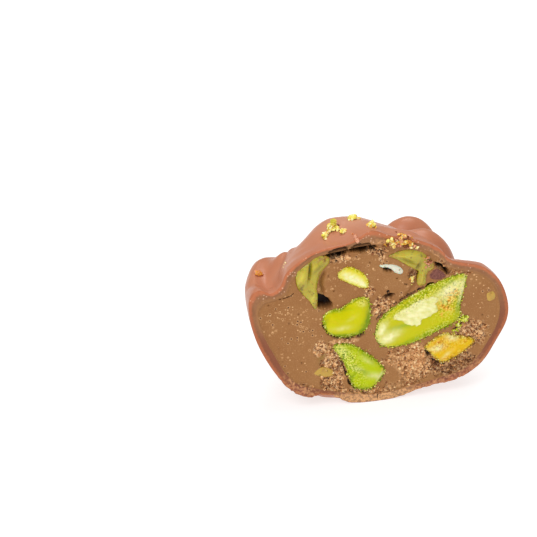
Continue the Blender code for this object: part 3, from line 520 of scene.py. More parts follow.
# Open hollows as depth and outline; the first two lie under the coating's lip
HOLLOWS = [
    (1.5, [(-8.4, 24.3), (-7.9, 25.1), (-6.8, 25.7), (-5.4, 26), (-4.9, 25.5), (-5.1, 24.7), (-6.2, 24.2),
           (-7.4, 24)]),
    (1.5, [(-4.6, 25.2), (-4.2, 25.8), (-3, 26.1), (-1.6, 26), (-0.6, 25.5), (-0.8, 24.9), (-2.2, 24.7),
           (-3.8, 24.8)]),
    (2, [(-9.4, 18.6), (-8.7, 18.7), (-7, 17), (-7.3, 16.1), (-9.2, 16.6)]),
    (1.3, [(8.2, 21.8), (9.2, 21.4), (10.2, 20.5), (10, 19.9), (9.4, 20.5), (8.6, 21)]),
    (0.9, [(0.5, 17.2), (1.3, 17.6), (2.4, 17.4), (1.8, 16.9), (0.9, 16.8)]),
    (0.7, [(0.3, 21.9), (1, 21.9), (1.8, 21.4), (1.7, 21.1), (0.8, 21.2)]),
    (0.9, [(6.8, 17.9), (7.2, 18.5), (8.1, 18.7), (8, 18.2), (7.4, 17.8)])]
# Cracks as depth, half width and line on the face
CRACKS = [
    (0.5, 0.2, [(-8.3, 13.4), (-7.4, 11.9), (-6.2, 11.2), (-4.7, 10.9), (-3.2, 11), (-2.2, 11.5)]),
    (0.6, 0.14, [(8.2, 21.9), (9.2, 21.2), (10.1, 19.9)]),
    (0.6, 0.22, [(7.1, 7.6), (8.1, 6), (8.9, 5.2), (10, 4.9)]),
    (0.4, 0.15, [(-5.7, 7.8), (-4.9, 5.4), (-4.4, 3.6), (-3.4, 2.4), (-2.2, 1.9)]),
    (0.25, 0.07, [(-14.8, 18.5), (-14, 18.6), (-13.2, 18.8), (-12.8, 19.2)]),
    (0.4, 0.1, [(-7.3, 23.6), (-6.2, 24.2), (-5, 24.8)]),
    (0.5, 0.14, [(-1.2, 24.9), (-0.2, 24.8), (0.8, 24.3)]),
    (0.3, 0.1, [(-0.3, 13.6), (1.2, 15), (3.2, 16.3), (5.6, 17.6), (7.6, 18.5)]),
    (0.3, 0.07, [(0.2, 24.3), (0.4, 23.6)]),
    (0.4, 0.12, [(12.6, 12.4), (12.4, 11.2), (11.2, 10.4)])]
FACE_SINK = 0.09  # the face lies this far behind the cut
BURIED = 0.1  # the filling closes over the rims of the pieces by this much
POCKET_ROOM = 0.1  # and stays this far behind their backs
# Broken flake of dark chocolate
DARK_BIT = [(7.3, 19.7), (7.9, 20.7), (8.6, 20.9), (9.5, 20.2), (10, 19.6), (9.3, 19.1), (8.3, 19)]


def edge_at(edge, t):
    """Distance from the axis and height of a profile at t, which counts the points of the edge."""
    last = len(edge) - 1
    i = min(int(t), last - 1)
    f = t - i
    before = edge[i - 1] if i > 0 else (-edge[1][0], edge[1][1])
    after = edge[i + 2] if i + 2 <= last else (-edge[last - 1][0], edge[last - 1][1])
    return [curved(*points, f) for points in zip(before, edge[i], edge[i + 1], after)]


def lean(z):
    return POLE_LEAN * z / CROWN_HEIGHT


def make_shape(right, left, back):
    """A half body from its edges at the cut and straight behind it."""
    sides = []
    for side in (right, left):
        side = side[:-1] + [(lean(side[-1][1]), side[-1][1])]
        sides.append([(abs(x - lean(z)), z) for x, z in side])
    return sides[0], sides[1], back


# Valleys that run up over the coating's rim and places where the rim sags, as turn and half width in
# degrees and depth in mm, the turn over which the sags set in, and folds of the crown as soft spots
RIM_VALLEYS = [(163, 7, -1.4), (131, 7, 0.9), (104, 7, 1.5), (68, 7, 1.9), (40, 7, 1.2)]
RIM_SAGS = [(28, 16, 3.2), (58, 20, 1.8), (162, 14, 1.1), (112, 8, 0.9)]
SAG_START = 12
CROWN_FOLDS = [(5, 2.4, 4, 3.6, 1, 0.7), (7.6, 7.1, 4, 4.6, 0.8, -0.8), (-5.4, 7.2, -8, 4.8, 3.4, 1.8),
               (0.6, 11.4, 80, 2.6, 1.1, -1.2), (-4.4, 12.2, 12, 3.2, 1.7, 1.2),
               (-13.9, 8.3, 24, 3.4, 2.6, 2.5), (-10, 8.3, 50, 3.6, 1.6, -1.4)]


def fold_height(x, y, t, outer):
    folds = CROWN_FOLDS if outer else [fold for fold in CROWN_FOLDS if fold[5] < 0]
    return soft_spots(folds, x, y) * smoothstep(9.2, 10.8, t) * smoothstep(0, 1.6, y)


def body_point(shape, turn, t, grow=0.0, outer=False):
    """Point of the round body: turn 0 is the right end of the cut, pi / 2 straight back, pi the left end."""
    right, left, back = shape
    side = edge_at(right if turn < math.pi / 2 else left, t)
    behind = edge_at(back, t)
    share = math.sin(turn) ** 2
    r, z = (s * (1 - share) + b * share for s, b in zip(side, behind))
    free = math.sin(turn) if 0 < turn < math.pi else 0.0
    degrees = math.degrees(turn)
    valley = sum(depth * bell(degrees, middle, half) for middle, half, depth in RIM_VALLEYS)
    r -= valley * bell(t, 9.2, 2.0) * free
    z -= 0.4 * valley * bell(t, 9.6, 1.4) * free
    sag = sum(drop * bell(degrees, middle, half) for middle, half, drop in RIM_SAGS)
    z -= sag * bell(t, 9.6, 2.6) * smoothstep(0, SAG_START, min(degrees, 180 - degrees))
    if outer:
        r, z = coating_folds(r, z, turn, t, free)
    r += grow * min(t, 1)
    x = lean(z) + r * math.cos(turn)
    y = r * math.sin(turn) if free else 0.0
    return Vector((x, y, max(z + fold_height(x, y, t, outer), 0.0)))


def crumbly_at(x, z):
    """How broken the face is, 0 to 1, how deep it lies there and how light its crumbs are."""
    share, depth, light = 0.0, 0.0, 0.0
    for px, pz, wide, high, deep, tone in CRUMBLY:
        if abs(x - px) < 2.2 * wide and abs(z - pz) < 2.2 * high:
            reach = ((x - px) / wide) ** 2 + ((z - pz) / high) ** 2
            reach = reach + 0.6 * grit(x, z, 1.1, 12) + 0.3 * grit(x, z, 0.4, 13)
            inside = smoothstep(1.35, 0.8, reach)
            light += tone * inside * (1 - 0.5 * share)
            share, depth = max(share, inside), max(depth, inside * deep)
    flat = min(soft_spots(SMOOTH_FLATS, x, z), 1)
    return share * (1 - flat), depth * (1 - flat), light


def gap_to_line(line, x, z):
    best = 1e9
    for (ax, az), (bx, bz) in zip(line, line[1:]):
        dx, dz = bx - ax, bz - az
        f = min(max(((x - ax) * dx + (z - az) * dz) / (dx * dx + dz * dz), 0.0), 1.0)
        best = min(best, math.hypot(x - ax - f * dx, z - az - f * dz))
    return best


def within(reach, x, z):
    return reach[0] < x < reach[1] and reach[2] < z < reach[3]


def filling_front(x, z):
    """Place in y of the filling's cut face, with its masks in the order of FACE_MASKS."""
    crumbly, deep, light = crumbly_at(x, z)
    y = FACE_SINK + 0.05 * grit(x, z, 2.9) + 0.02 * grit(x, z, 0.5, 3)
    if crumbly > 0:
        lumps = grit(x, z, 0.9, 4) + 0.6 * grit(x, z, 0.45, 14)
        y += deep * (0.5 + 0.9 * lumps) + crumbly * (0.12 * grit(x, z, 0.3, 7) + 0.06 * grit(x, z, 0.18, 9))
    for px, pz, radius in PORES:
        if abs(x - px) < 1 and abs(z - pz) < 1:
            out = math.hypot(x - px, (z - pz) * 1.2) / (0.6 * radius)
            y += 0.25 * smoothstep(1.1, 0.5, out) - 0.05 * bell(out, 1.35, 0.3)
    rx, rz, wide, high = ROLL
    out = math.hypot((x - rx) / wide, (z - rz) / high) + 0.03 * grit(x, z, 1.4, 6)
    open_part = smoothstep(0.2, -0.5, grit(x, z, 3.2, 14)) * (1 if z > 17 or x < -6 else 0.3)
    seam = bell(out, 1.0, 0.035) * open_part * (1 if x < 7 else 0)
    y += 0.55 * seam + 0.12 * bell(out, 1.0, 0.1)
    dark = -1
    if within(DARK_REACH, x, z):
        dark = depth_inside(DARK_LOOP, x, z)[0] + 0.15 * grit(x, z, 0.5, 3)
    y -= 0.15 * smoothstep(0, 0.3, dark)
    # share of the hollows and cracks; the material also paints them near black as their shade
    hollow = 0.0
    for loop, reach, depth in hollows:
        if within(reach, x, z):
            inside = depth_inside(loop, x, z)[0] + 0.13 * grit(x, z, 0.5, 11) + 0.1 * grit(x, z, 0.22, 12)
            share = smoothstep(-0.05, 0.2, inside)
            hollow = max(hollow, share)
            y += depth * share - 0.1 * bell(inside, -0.2, 0.12)
    for line, reach, depth, half in cracks:
        if within(reach, x, z):
            half *= 1 + 1.6 * grit(x, z, 0.8, 21)
            share = smoothstep(half, 0.3 * half, gap_to_line(line, x, z) + 0.1 * grit(x, z, 0.3, 22))
            hollow = max(hollow, share)
            y += depth * share
    for pocket in POCKETS:
        if within(pocket["reach"], x, z):
            inside = depth_inside(pocket["loop"], x, z)[0] - BURIED + 0.06 * grit(x, z, 0.3, 16)
            y += 0.3 * max(grit(x, z, 1.3, 15), 0) * bell(inside, 0.0, 0.16) - 0.04 * bell(inside, -0.2, 0.15)
            if inside > 0:
                y = max(y, SEAT + POCKET_ROOM + back_of(pocket, inside))
    pitted, olive = (min(soft_spots(spots, x, z), 1) for spots in (PITTED, OLIVE))
    return y, crumbly, hollow, max(dark, 0), 0.5 + 0.5 * light, pitted, olive


def reach_of(points):
    """Box round some points, half a millimetre larger on each side: lowest and highest x, then z."""
    xs, zs = zip(*points)
    return min(xs) - 0.5, max(xs) + 0.5, min(zs) - 0.5, max(zs) + 0.5


loops = [closed_curve(outline) for depth, outline in HOLLOWS]
hollows = [(loop, reach_of(loop), depth) for loop, (depth, _) in zip(loops, HOLLOWS)]
cracks = [(line, reach_of(line), depth, half) for depth, half, line in CRACKS]
POCKETS = [piece for name, piece in {**KERNELS, **SMALL_PIECES}.items() if not name.startswith("bit")]
for pocket in POCKETS:
    pocket["reach"] = reach_of(pocket["loop"])
FACE_MASKS = ("crumbly", "hollow", "dark", "light", "pitted", "olive")
DARK_LOOP, DARK_REACH = closed_curve(DARK_BIT, 3), (6.5, 10.8, 18.2, 21.2)
inner_shape = make_shape(INNER_RIGHT, INNER_LEFT, INNER_BACK)
rows = FILLING_ROWS * (len(INNER_BACK) - 1)
bm = bmesh.new()
bmesh.ops.create_grid(bm, x_segments=FILLING_BODY + FILLING_COLUMNS, y_segments=rows, size=1)
layers = [bm.verts.layers.float.new(key) for key in FACE_MASKS]
row_ends = []
for n in range(rows + 1):
    t = n / FILLING_ROWS
    row_ends.append([body_point(inner_shape, turn, t, FILLING_OVERLAP) for turn in (math.pi, 0)])
for vert in bm.verts:
    column = round((vert.co.x + 1) / 2 * (FILLING_BODY + FILLING_COLUMNS))
    row = round((vert.co.y + 1) / 2 * rows)
    left, right = row_ends[row]
    if column <= FILLING_BODY:
        turn = math.pi * column / FILLING_BODY
        vert.co = body_point(inner_shape, turn, row / FILLING_ROWS, FILLING_OVERLAP)
    else:
        vert.co = left.lerp(right, (column - FILLING_BODY) / FILLING_COLUMNS)
    if vert.co.y < 0.001:
        vert.co.y, *masks = filling_front(vert.co.x, vert.co.z)
        flush = smoothstep(0, 0.5, min(vert.co.x - left.x, right.x - vert.co.x))
        vert.co.y *= max(flush, masks[FACE_MASKS.index("hollow")])
        for layer, mask in zip(layers, masks):
            vert[layer] = mask
bmesh.ops.remove_doubles(bm, verts=bm.verts[:], dist=0.001)
filling = as_object(bm, "filling_ganache")
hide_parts("filling")

material, tree, shader = new_material("ganache", 0.5, specular=0.25)
wide_cloud, cloud, fine, rubble = (
    place_group(tree, grain, *kind) for kind in ((0.16, 3.0), (0.9, 2.4), (4.5, 3.6), (2.3, 3.4)))
lumps, pinholes, pale_dots = (place_group(tree, specks, size, amount) for size, amount in (
    (2.6, 1.0), (2.2, worked(tree, "ADD", times(tree, "pitted", 0.22), 0.03)),
    (2.7, worked(tree, "ADD", times(tree, "pitted", 0.14), 0.04))))
broken = painted(
    tree, mixed(tree, lumps["Lot"], (152, 98, 56), (220, 162, 106)),
    (ramp(tree, rubble["Tone"], 0.44, 0.18), (112, 66, 38)),
    (ramp(tree, rubble["Tone"], 0.55, 0.82), (244, 194, 138)),
    (times(tree, ramp(tree, fine["Tone"], 0.6, 0.9), 0.6), (255, 224, 176)),
    (times(tree, ramp(tree, "light", 0.5, 0.0), 0.45), (112, 68, 40)),
    (times(tree, ramp(tree, "light", 0.5, 1.0), 0.6), (228, 172, 114)))
colour = painted(
    tree, mixed(tree, wide_cloud["Tone"], (155, 103, 55), (167, 117, 67)),
    (times(tree, cloud["Tone"], 0.3), (150, 96, 50)),
    (times(tree, ramp(tree, fine["Tone"], 0.6, 1.0), 0.25), (204, 154, 106)),
    (times(tree, "olive", 0.7), (132, 112, 40)),
    # pinholes: dark dots painted as the shade in tiny pits, and pale rims round them painted as their lit
    # edges
    (times(tree, pinholes["Rims"], 0.5), (222, 170, 116)),
    (times(tree, pinholes["Dots"], pinholes["Lot"]), (84, 48, 30)),
    (times(tree, pale_dots["Dots"], 0.8), (234, 186, 132)),
    (times(tree, "crumbly", ramp(tree, cloud["Tone"], -0.3, 0.4)), broken),
    (ramp(tree, "dark", 0.0, 0.15), mixed(tree, fine["Tone"], (104, 56, 48), (142, 88, 74))),
    # painted shade: the hollows and cracks near black, darker than their depth alone makes them
    ("hollow", (34, 17, 10)))
relief = worked(tree, "ADD", times(tree, fine["Height"], worked(tree, "ADD", "crumbly", 0.3)),
                times(tree, cloud["Height"], 0.6))
finished(tree, shader, colour, relief, 0.4, 0.14)
filling.data.materials.append(material)


# Loose crumbs of the filling: the knife left them in the broken patches. They are angular grains
# joined into one piece, each with a colour of its own by its sort.
GRAIN_TRIES, GRAIN_SIZES = 5600, (0.08, 0.27)


def add_grain(bm, sort, middle, size, kind, ragged=0.3):
    """Angular grain with its own colour value, put into a bmesh in mm."""
    turn = draw.uniform(0, 6.28)
    turn = Matrix.Rotation(turn, 4, Vector([draw.gauss(0, 1) for _ in range(3)]))
    shape = Matrix.Diagonal((1, draw.uniform(0.6, 1), draw.uniform(0.4, 0.9), 1))
    place = Matrix.Translation(middle) @ turn @ shape
    for vert in bmesh.ops.create_icosphere(bm, subdivisions=1, radius=size, matrix=place)["verts"]:
        vert.co = middle + (vert.co - middle) * draw.uniform(1 - ragged, 1 + ragged)
        vert[sort] = min(max(kind + draw.uniform(-0.08, 0.08), 0), 1)


def grain_material(name, stops, roughness, glow):
    """Colour of each grain from its sort, along a row of stops: place and colour."""
    material, tree, shader = new_material(name, roughness, subsurface=glow, reach=0.0004, specular=0.25)
    colours = add(tree, "ValToRGB", {"Fac": "sort"})
    for place, shade in stops.items():
        ends = colours.color_ramp.elements
        stop = ends.new(place) if 0 < place < 1 else ends[0 if place == 0 else -1]
        stop.color = tint(*shade)
    tree.links.new(colours.outputs["Color"], shader.inputs["Base Color"])
    return material


draw = random.Random(5)
face_tree = BVHTree.FromPolygons([CUT_TO_MODEL.inverted() @ v.co for v in filling.data.vertices],
                                 [p.vertices for p in filling.data.polygons])
bm = bmesh.new()
sort = bm.verts.layers.float.new("sort")
for _ in range(GRAIN_TRIES):
    x, z = draw.uniform(-14.5, 16.5), draw.uniform(0.8, 25.4)
    crumbly, _, light = crumbly_at(x, z)
    if draw.random() > crumbly:
        continue
    if any(within(p["reach"], x, z) and depth_inside(p["loop"], x, z)[0] > -0.1 for p in POCKETS):
        continue
    hit = face_tree.ray_cast(Vector((x, -5, z)), Vector((0, 1, 0)))[0]
    size = draw.uniform(*GRAIN_SIZES)
    if hit:
        add_grain(bm, sort, hit - Vector((0, 0.2 * size, 0)), size, draw.betavariate(1.6, 1.5) + 0.2 * light)
loose = as_object(bm, "filling_crumbs")
loose.data.shade_flat()
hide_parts("filling")
loose.data.materials.append(grain_material("ganache_crumbs", {
    0: (106, 62, 34), 0.3: (154, 98, 56), 0.5: (194, 138, 86), 0.7: (230, 174, 116), 1: (252, 216, 164)},
    0.55, 0.05))


# Skin of the nuts: the knife tore it into fine crumbs along the rim of each. The large nut has a
# spur of larger crumbs at its right. They stick to the filling and to the nut.
SPUR = [(12.3, 11.9), (12.9, 12.1), (12.0, 11.1), (11.8, 10.4), (12.4, 12.6), (13.1, 12.4)]
SPUR_GRAINS, RIM_GRAINS = 9, 3  # for each place of the spur and each side of an outline
GREEN_SKIN = {0: (84, 100, 0), 0.35: (148, 168, 0), 0.65: (208, 210, 40), 1: (252, 244, 160)}
GOLD_SKIN = {0: (128, 78, 10), 0.35: (196, 152, 16), 0.7: (240, 212, 96), 1: (252, 238, 170)}
for name, nut in KERNELS.items():
    bm = bmesh.new()
    sort = bm.verts.layers.float.new("sort")
    loop = nut["loop"]
    for (ax, az), (bx, bz) in zip(loop, loop[1:] + loop[:1]):
        for _ in range(1 if name == "kernel_yellow" else RIM_GRAINS):
            f, size = draw.random(), draw.uniform(0.05, 0.15)
            x, y = ax + (bx - ax) * f + draw.gauss(0, 0.1), draw.uniform(-0.08, 0.06)
            add_grain(bm, sort, Vector((x, y, az + (bz - az) * f + draw.gauss(0, 0.1))), size, draw.random())
    for x, z in (SPUR if name == "kernel_large" else []):
        for _ in range(SPUR_GRAINS):
            place = Vector((x + draw.gauss(0, 0.25), draw.uniform(-0.15, 0.2), z + draw.gauss(0, 0.22)))
            add_grain(bm, sort, place, draw.uniform(0.12, 0.28), draw.uniform(0.35, 1.0))
    rim = as_object(bm, name + "_rim")
    rim.data.shade_flat()
    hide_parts(name)
    colours = dict(GOLD_SKIN if name in GOLDEN else GREEN_SKIN)
    if name == "kernel_bean":
        colours[0] = (150, 152, 10)
    rim.data.materials.append(grain_material(name + "_skin", colours, 0.5, 0.05))


# Milk chocolate coating: the filled ball was dipped by hand and set on a rack, so it has soft folds,
# a sagging rim and a flat foot. The knife broke it off with a bright lip and a matte broken band.
COATING_RIGHT = [(0, 0), (6.5, 0), (9.5, 0.7), (13.2, 2.6), (15.9, 4.8), (17.8, 8), (19.3, 11.2),
                 (19.4, 14.2), (18.1, 17.8), (15.6, 20.3), (12.4, 21.4), (10.5, 22.1), (8.6, 24.2),
                 (5.4, 25.9), (1.5, 27), (POLE_LEAN, CROWN_HEIGHT)]
COATING_LEFT = [(0, 0), (-6.5, 0), (-9.2, 0.9), (-12.8, 3.1), (-14.9, 5.6), (-16.8, 8.8), (-18.3, 12.2),
                (-19.2, 15.8), (-19.3, 18.9), (-18.1, 20.4), (-16.2, 19.7), (-14.8, 20.6), (-13.4, 23.2),
                (-9.6, 25.6), (-4.5, 26.6), (POLE_LEAN, CROWN_HEIGHT)]
COATING_BACK = [(0, 0), (9.5, 0), (12, 0.9), (13.6, 2.6), (15, 5.2), (16.4, 8.6), (17.6, 12), (18.2, 15.2),
                (18, 18), (16.6, 19.6), (14.6, 19.9), (13, 21), (10.6, 23.6), (7.6, 25.7), (3.6, 27.5),
                (0, CROWN_HEIGHT)]
FLUTE_DEPTH, RIM_WAVE, DIMPLE_DEPTH = 0.62, 0.8, 0.45
# Rounded lobes that the folds end in: x, y, turn in degrees, half length, half width, foot and top height
CROWN_LOBES = [(6.6, 9.7, -4, 5.6, 3.5, 17.0, 24.7), (7.0, 4.5, -6, 5.6, 3.3, 18.2, 25.2)]
LOBE_BLEND, LOBE_SWELL, LOBE_SKIRT = 1.2, 0.6, 7.0
# Chips of the foot's front edge as x, half width and lift, and how deep the chips and the ragged cut edge are
FOOT_CHIPS = [(7.6, 3.6, 1.45), (-7.5, 2.4, 1.75)]
CHIP_REACH, EDGE_REACH = 1.5, 0.7
COATING_ROWS, COATING_OUTSIDE, COATING_BAND, COATING_INSIDE = 14, 230, 10, 40


def coating_folds(r, z, turn, t, free):
    """Flutes of the sides, waves of the rim and shallow dimples of the dipped outside."""
    body = smoothstep(1.5, 5, t) * (1 - smoothstep(9, 10.5, t))
    r += FLUTE_DEPTH * body * free * (math.sin(7.3 * turn + 0.9) + 0.5 * math.sin(12.1 * turn + 2.2))
    z += RIM_WAVE * bell(t, 9, 1.5) * free * (math.sin(5.1 * turn + 0.4) + 0.6 * math.sin(9.3 * turn + 1.7))
    dent = noise.noise(Vector((2.1 * math.cos(turn), 2.1 * math.sin(turn), 0.55 * t)))
    ripple = noise.noise(Vector((9 * math.cos(turn), 9 * math.sin(turn), 1.1 * t)))
    fade = smoothstep(0, 3, t) * (1 - smoothstep(12, 14, t))
    return r + free * fade * (DIMPLE_DEPTH * dent + 0.12 * ripple), z


def height_over_lobes(x, y, z, t):
    """Height of the crown at x, y with the rounded lobes laid over it."""
    top = z
    for lx, ly, turn, length, width, foot, peak in CROWN_LOBES:
        a = math.radians(turn)
        along = (x - lx) * math.cos(a) + (y - ly) * math.sin(a)
        across = (y - ly) * math.cos(a) - (x - lx) * math.sin(a)
        out = (along / length) ** 2 + (across / width) ** 2
        lobe = foot + (peak - foot) * max(1 - out, 0.0) ** LOBE_SWELL - LOBE_SKIRT * max(out - 1, 0.0)
        near = max(LOBE_BLEND - abs(top - lobe), 0.0)
        top = max(top, lobe) + near * near / (4 * LOBE_BLEND)
    return z + (top - z) * smoothstep(8.6, 9.4, t) * smoothstep(0, 1.6, y)


def coating_point(turn, t):
    place = body_point(outer_shape, turn, t, outer=True)
    if t < 7 and place.y < 3 * CHIP_REACH:
        lift = sum(lift * bell(place.x, middle, half) for middle, half, lift in FOOT_CHIPS)
        place.z += lift * bell(place.y, 0, CHIP_REACH)
    elif t > 7:
        place.z = height_over_lobes(place.x, place.y, place.z, t)
    if place.y < EDGE_REACH:
        edge = (1 - place.y / EDGE_REACH) * (0.22 * smoothstep(5, 2.5, t) + 0.07 * smoothstep(8, 10, t))
        place.x += edge * grit(place.x, place.z, 0.8, 33)
        ragged = grit(place.x, place.z, 0.7, 31) + 0.5 * grit(place.x, place.z, 0.3, 32)
        place.z += edge * min(t, 1) * ragged
    if place.y > 0:
        place.z += 0.09 * smoothstep(0, 1.5, place.y) * smoothstep(0.5, 2, t) * grit(place.x, place.y, 1.5, 5)
    return place


# Soft spots of the band and the outside: crumbly stretches, reddish ones, and a painted sheen on the crown
BAND_CRUMBS = [(-11.6, 3.2, -38, 2.8, 1.3, 1), (10.6, 2.4, 22, 6, 1.3, 0.9), (0.8, 25.6, -10, 2.6, 0.9, 0.7),
               (8.6, 22.6, -45, 1.8, 0.5, 0.7)]
BAND_RED = [(-11.8, 3, -38, 2.2, 1, 0.9), (13, 3, 30, 2.6, 0.9, 0.9), (9, 1.8, 18, 4, 0.9, 0.8)]
PAINTED_SHEEN = [(-2.6, 6, 0, 6, 4.6, 1), (3, 5.4, 0, 3.4, 1.4, 1), (-13.8, 3.4, 60, 3, 2.2, 0.4)]
GAP_DEPTH = 1.6  # the open gaps under the lip go back by this much
outer_shape = make_shape(COATING_RIGHT, COATING_LEFT, COATING_BACK)
rows = COATING_ROWS * (len(COATING_BACK) - 1)
around = COATING_OUTSIDE + COATING_INSIDE + 2 * COATING_BAND
bm = bmesh.new()
bmesh.ops.create_grid(bm, x_segments=around, y_segments=rows, size=1)
band, lip, inner_wall_shade, crumbly, red, painted_sheen, low = (bm.verts.layers.float.new(key) for key in (
    "band", "lip", "inner_wall_shade", "crumbly", "red", "painted_sheen", "low"))
row_ends = []
for n in range(rows + 1):
    t = n / COATING_ROWS
    row_ends.append([(coating_point(turn, t), body_point(inner_shape, turn, t)) for turn in (0, math.pi)])
for vert in bm.verts:
    column = round((vert.co.x + 1) / 2 * around)
    row = round((vert.co.y + 1) / 2 * rows)
    t = row / COATING_ROWS
    if column <= COATING_OUTSIDE:  # outside, right to left
        turn = math.pi * column / COATING_OUTSIDE
        vert.co = coating_point(turn, t)
        # painted sheen: the crown lighter on its top, its ridge and the left valley, where it reflects the
        # soft light
        vert[painted_sheen] = min(soft_spots(PAINTED_SHEEN, vert.co.x, vert.co.y), 1) * smoothstep(9.5, 11, t)
        continue
    column -= COATING_OUTSIDE
    if column < COATING_BAND or column > COATING_BAND + COATING_INSIDE:  # broken band in the cut
        left = column < COATING_BAND
        share = column / COATING_BAND if left else (around - COATING_OUTSIDE - column) / COATING_BAND
        outside, inside = row_ends[row][1 if left else 0]
        vert.co = outside.lerp(inside, share)
        x, z = vert.co.x, vert.co.z
        middle = 4 * share * (1 - share)
        vert[band] = 0.15 + share
        vert[lip] = smoothstep(16, 20, z) * (0.7 + 0.5 * grit(x, z, 0.8, 6))
        foot = smoothstep(2.6, 1.2, z) * smoothstep(9, 5, abs(x + 1))
        vert[crumbly] = min(foot + soft_spots(BAND_CRUMBS, x, z) * (1 + grit(x, z, 0.5, 4)), 1)
        vert[lip] = max(vert[lip], foot)
        vert[red] = min(soft_spots(BAND_RED, x, z), 1)
        vert[low] = smoothstep(18 if x > 0 else 15, 11, z)
        vert.co.y = middle * (0.05 + 0.07 * grit(x, z, 0.7, 3) + 0.05 * grit(x, z, 0.25, 8))
        vert.co.y -= (0.1 + 0.12 * vert[lip]) * bell(share, 0.24, 0.2) * (1 - vert[crumbly])
        vert.co.y += vert[crumbly] * middle * (0.25 * grit(x, z, 0.8, 2) + 0.2 * grit(x, z, 0.3, 5))
        for loop, reach, _ in hollows[:2]:  # open gaps under the lip
            if within(reach, x, z) and share > 0.25:
                inside = depth_inside(loop, x, z)[0] + 0.13 * grit(x, z, 0.5, 11)
                # the walls of these gaps are painted near black as their shade
                vert[inner_wall_shade] = max(vert[inner_wall_shade], smoothstep(-0.05, 0.12, inside))
        vert.co.y += GAP_DEPTH * vert[inner_wall_shade]
    else:  # inner wall, left to right
        turn = math.pi * (1 - (column - COATING_BAND) / COATING_INSIDE)
        vert.co = body_point(inner_shape, turn, t)
        # painted shade: the inner wall is near black where it lies behind the cut
        vert[inner_wall_shade] = smoothstep(0, 0.3, vert.co.y)
        vert[band] = 1.15
bmesh.ops.remove_doubles(bm, verts=bm.verts[:], dist=0.001)
crown_tree = BVHTree.FromBMesh(bm)
coating = as_object(bm, "coating_shell")
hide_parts("coating")

material, tree, shader = new_material("milk_chocolate_coat", 0.36, specular=0.42)
cloud, fine, rubble = (place_group(tree, grain, *kind) for kind in ((0.12, 2.4), (0.8, 2.0), (2.3, 3.2)))
# specks for the painted highlights that glint along the lip
lip_glints = place_group(tree, specks, 2.6, 0.3)
across = worked(tree, "ADD", "band", times(tree, rubble["Tone"], 0.16))
broken = painted(tree, mixed(tree, fine["Tone"], (142, 92, 54), (162, 110, 70)),
                 (times(tree, "low", 0.85), (136, 72, 44)))
crumbs = painted(tree, mixed(tree, ramp(tree, rubble["Tone"], 0.2, 0.75), (112, 66, 38), (228, 168, 110)),
                 (times(tree, "lip", 0.4), (232, 178, 126)),
                 (times(tree, "red", 0.6), mixed(tree, fine["Tone"], (120, 62, 44), (206, 120, 92))))
colour = painted(
    tree, mixed(tree, cloud["Tone"], (178, 108, 74), (190, 122, 88)),
    # painted sheen laid over the coating's colour on the crown
    (times(tree, "painted_sheen", 0.6), (202, 148, 120)),
    (ramp(tree, "band", 0.02, 0.12), mixed(tree, "lip", (176, 98, 58), (198, 116, 74))),
    (ramp(tree, across, 0.42, 0.72), broken),
    (times(tree, ramp(tree, across, 0.86, 1.12), ramp(tree, "low", 0.6, 0.0)), (161, 110, 63)),
    # painted highlights: pale pink specks along the lip
    (times(tree, lip_glints["Dots"], ramp(tree, "band", 0.0, 0.12), "lip", 0.8), (246, 204, 170)),
    # painted shade: the inner wall and the gaps under the lip near black
    ("crumbly", crumbs), ("inner_wall_shade", (40, 20, 12)))
gloss = worked(tree, "ADD", worked(tree, "MULTIPLY", fine["Tone"], 0.10), 0.32)
rough = add(tree, "Mix", {0: ramp(tree, "band", 0.02, 0.2), 2: gloss, 3: 0.62}).outputs[0]
tree.links.new(rough, shader.inputs["Roughness"])
relief = worked(tree, "ADD", fine["Height"], times(tree, rubble["Height"], ramp(tree, "band", 0.0, 0.3)))
finished(tree, shader, colour, relief, 0.25, 0.12)
coating.data.materials.append(material)


# Chopped pistachio on the crown: fine yellow and green crumbs that were sprinkled on while the
# coating was wet, in a few small heaps, with broken brown crumbs where the knife dragged them. The
# dark brown grains in the heap at x -6, y 4 and in the cut heap at x 3.8, z 25.1 are painted shade
# between the grains.

# Heaps: x, y, spread, height, count, smallest and largest grain, lowest and highest sort. Sort is the
# colour: green, yellow and pale to 0.5, gold and orange to 0.7, pink to 0.84, then brown
HEAPS = [(-6.1, 4, 0.5, 1.3, 70, 0.18, 0.46, 0, 0.62), (-7.4, 3.3, 0.38, 0.55, 30, 0.14, 0.38, 0.1, 0.64),
         (-5.1, 2.7, 0.32, 0.35, 16, 0.14, 0.36, 0.2, 0.6), (-2.8, 5.4, 0.62, 0.4, 36, 0.14, 0.38, 0.1, 0.7),
         (-0.9, 1.5, 0.5, 0.7, 44, 0.14, 0.4, 0.1, 0.64), (2.6, 9.8, 0.9, 0.4, 30, 0.12, 0.34, 0.1, 0.7),
         (-3.2, 12, 0.8, 0.4, 26, 0.12, 0.34, 0.1, 0.7), (-9.6, 9.4, 0.6, 0.3, 16, 0.12, 0.3, 0.1, 0.7),
         # next: dark brown grains in the largest heap, as painted shade between its grains
         (-6, 4, 0.6, 0.7, 10, 0.14, 0.3, 0.9, 1), (3.2, 0.5, 0.6, 0.2, 14, 0.14, 0.36, 0.5, 0.74),
         (4.4, 0.5, 0.4, 0.2, 8, 0.14, 0.34, 0.6, 1), (-16.6, 6.2, 0.4, 0.3, 12, 0.24, 0.46, 0.66, 0.76),
         (-13.2, 3.2, 0.3, 0.1, 3, 0.1, 0.2, 0.4, 0.6), (-3.6, 0.6, 0.25, 0.15, 8, 0.16, 0.3, 0.76, 0.82)]
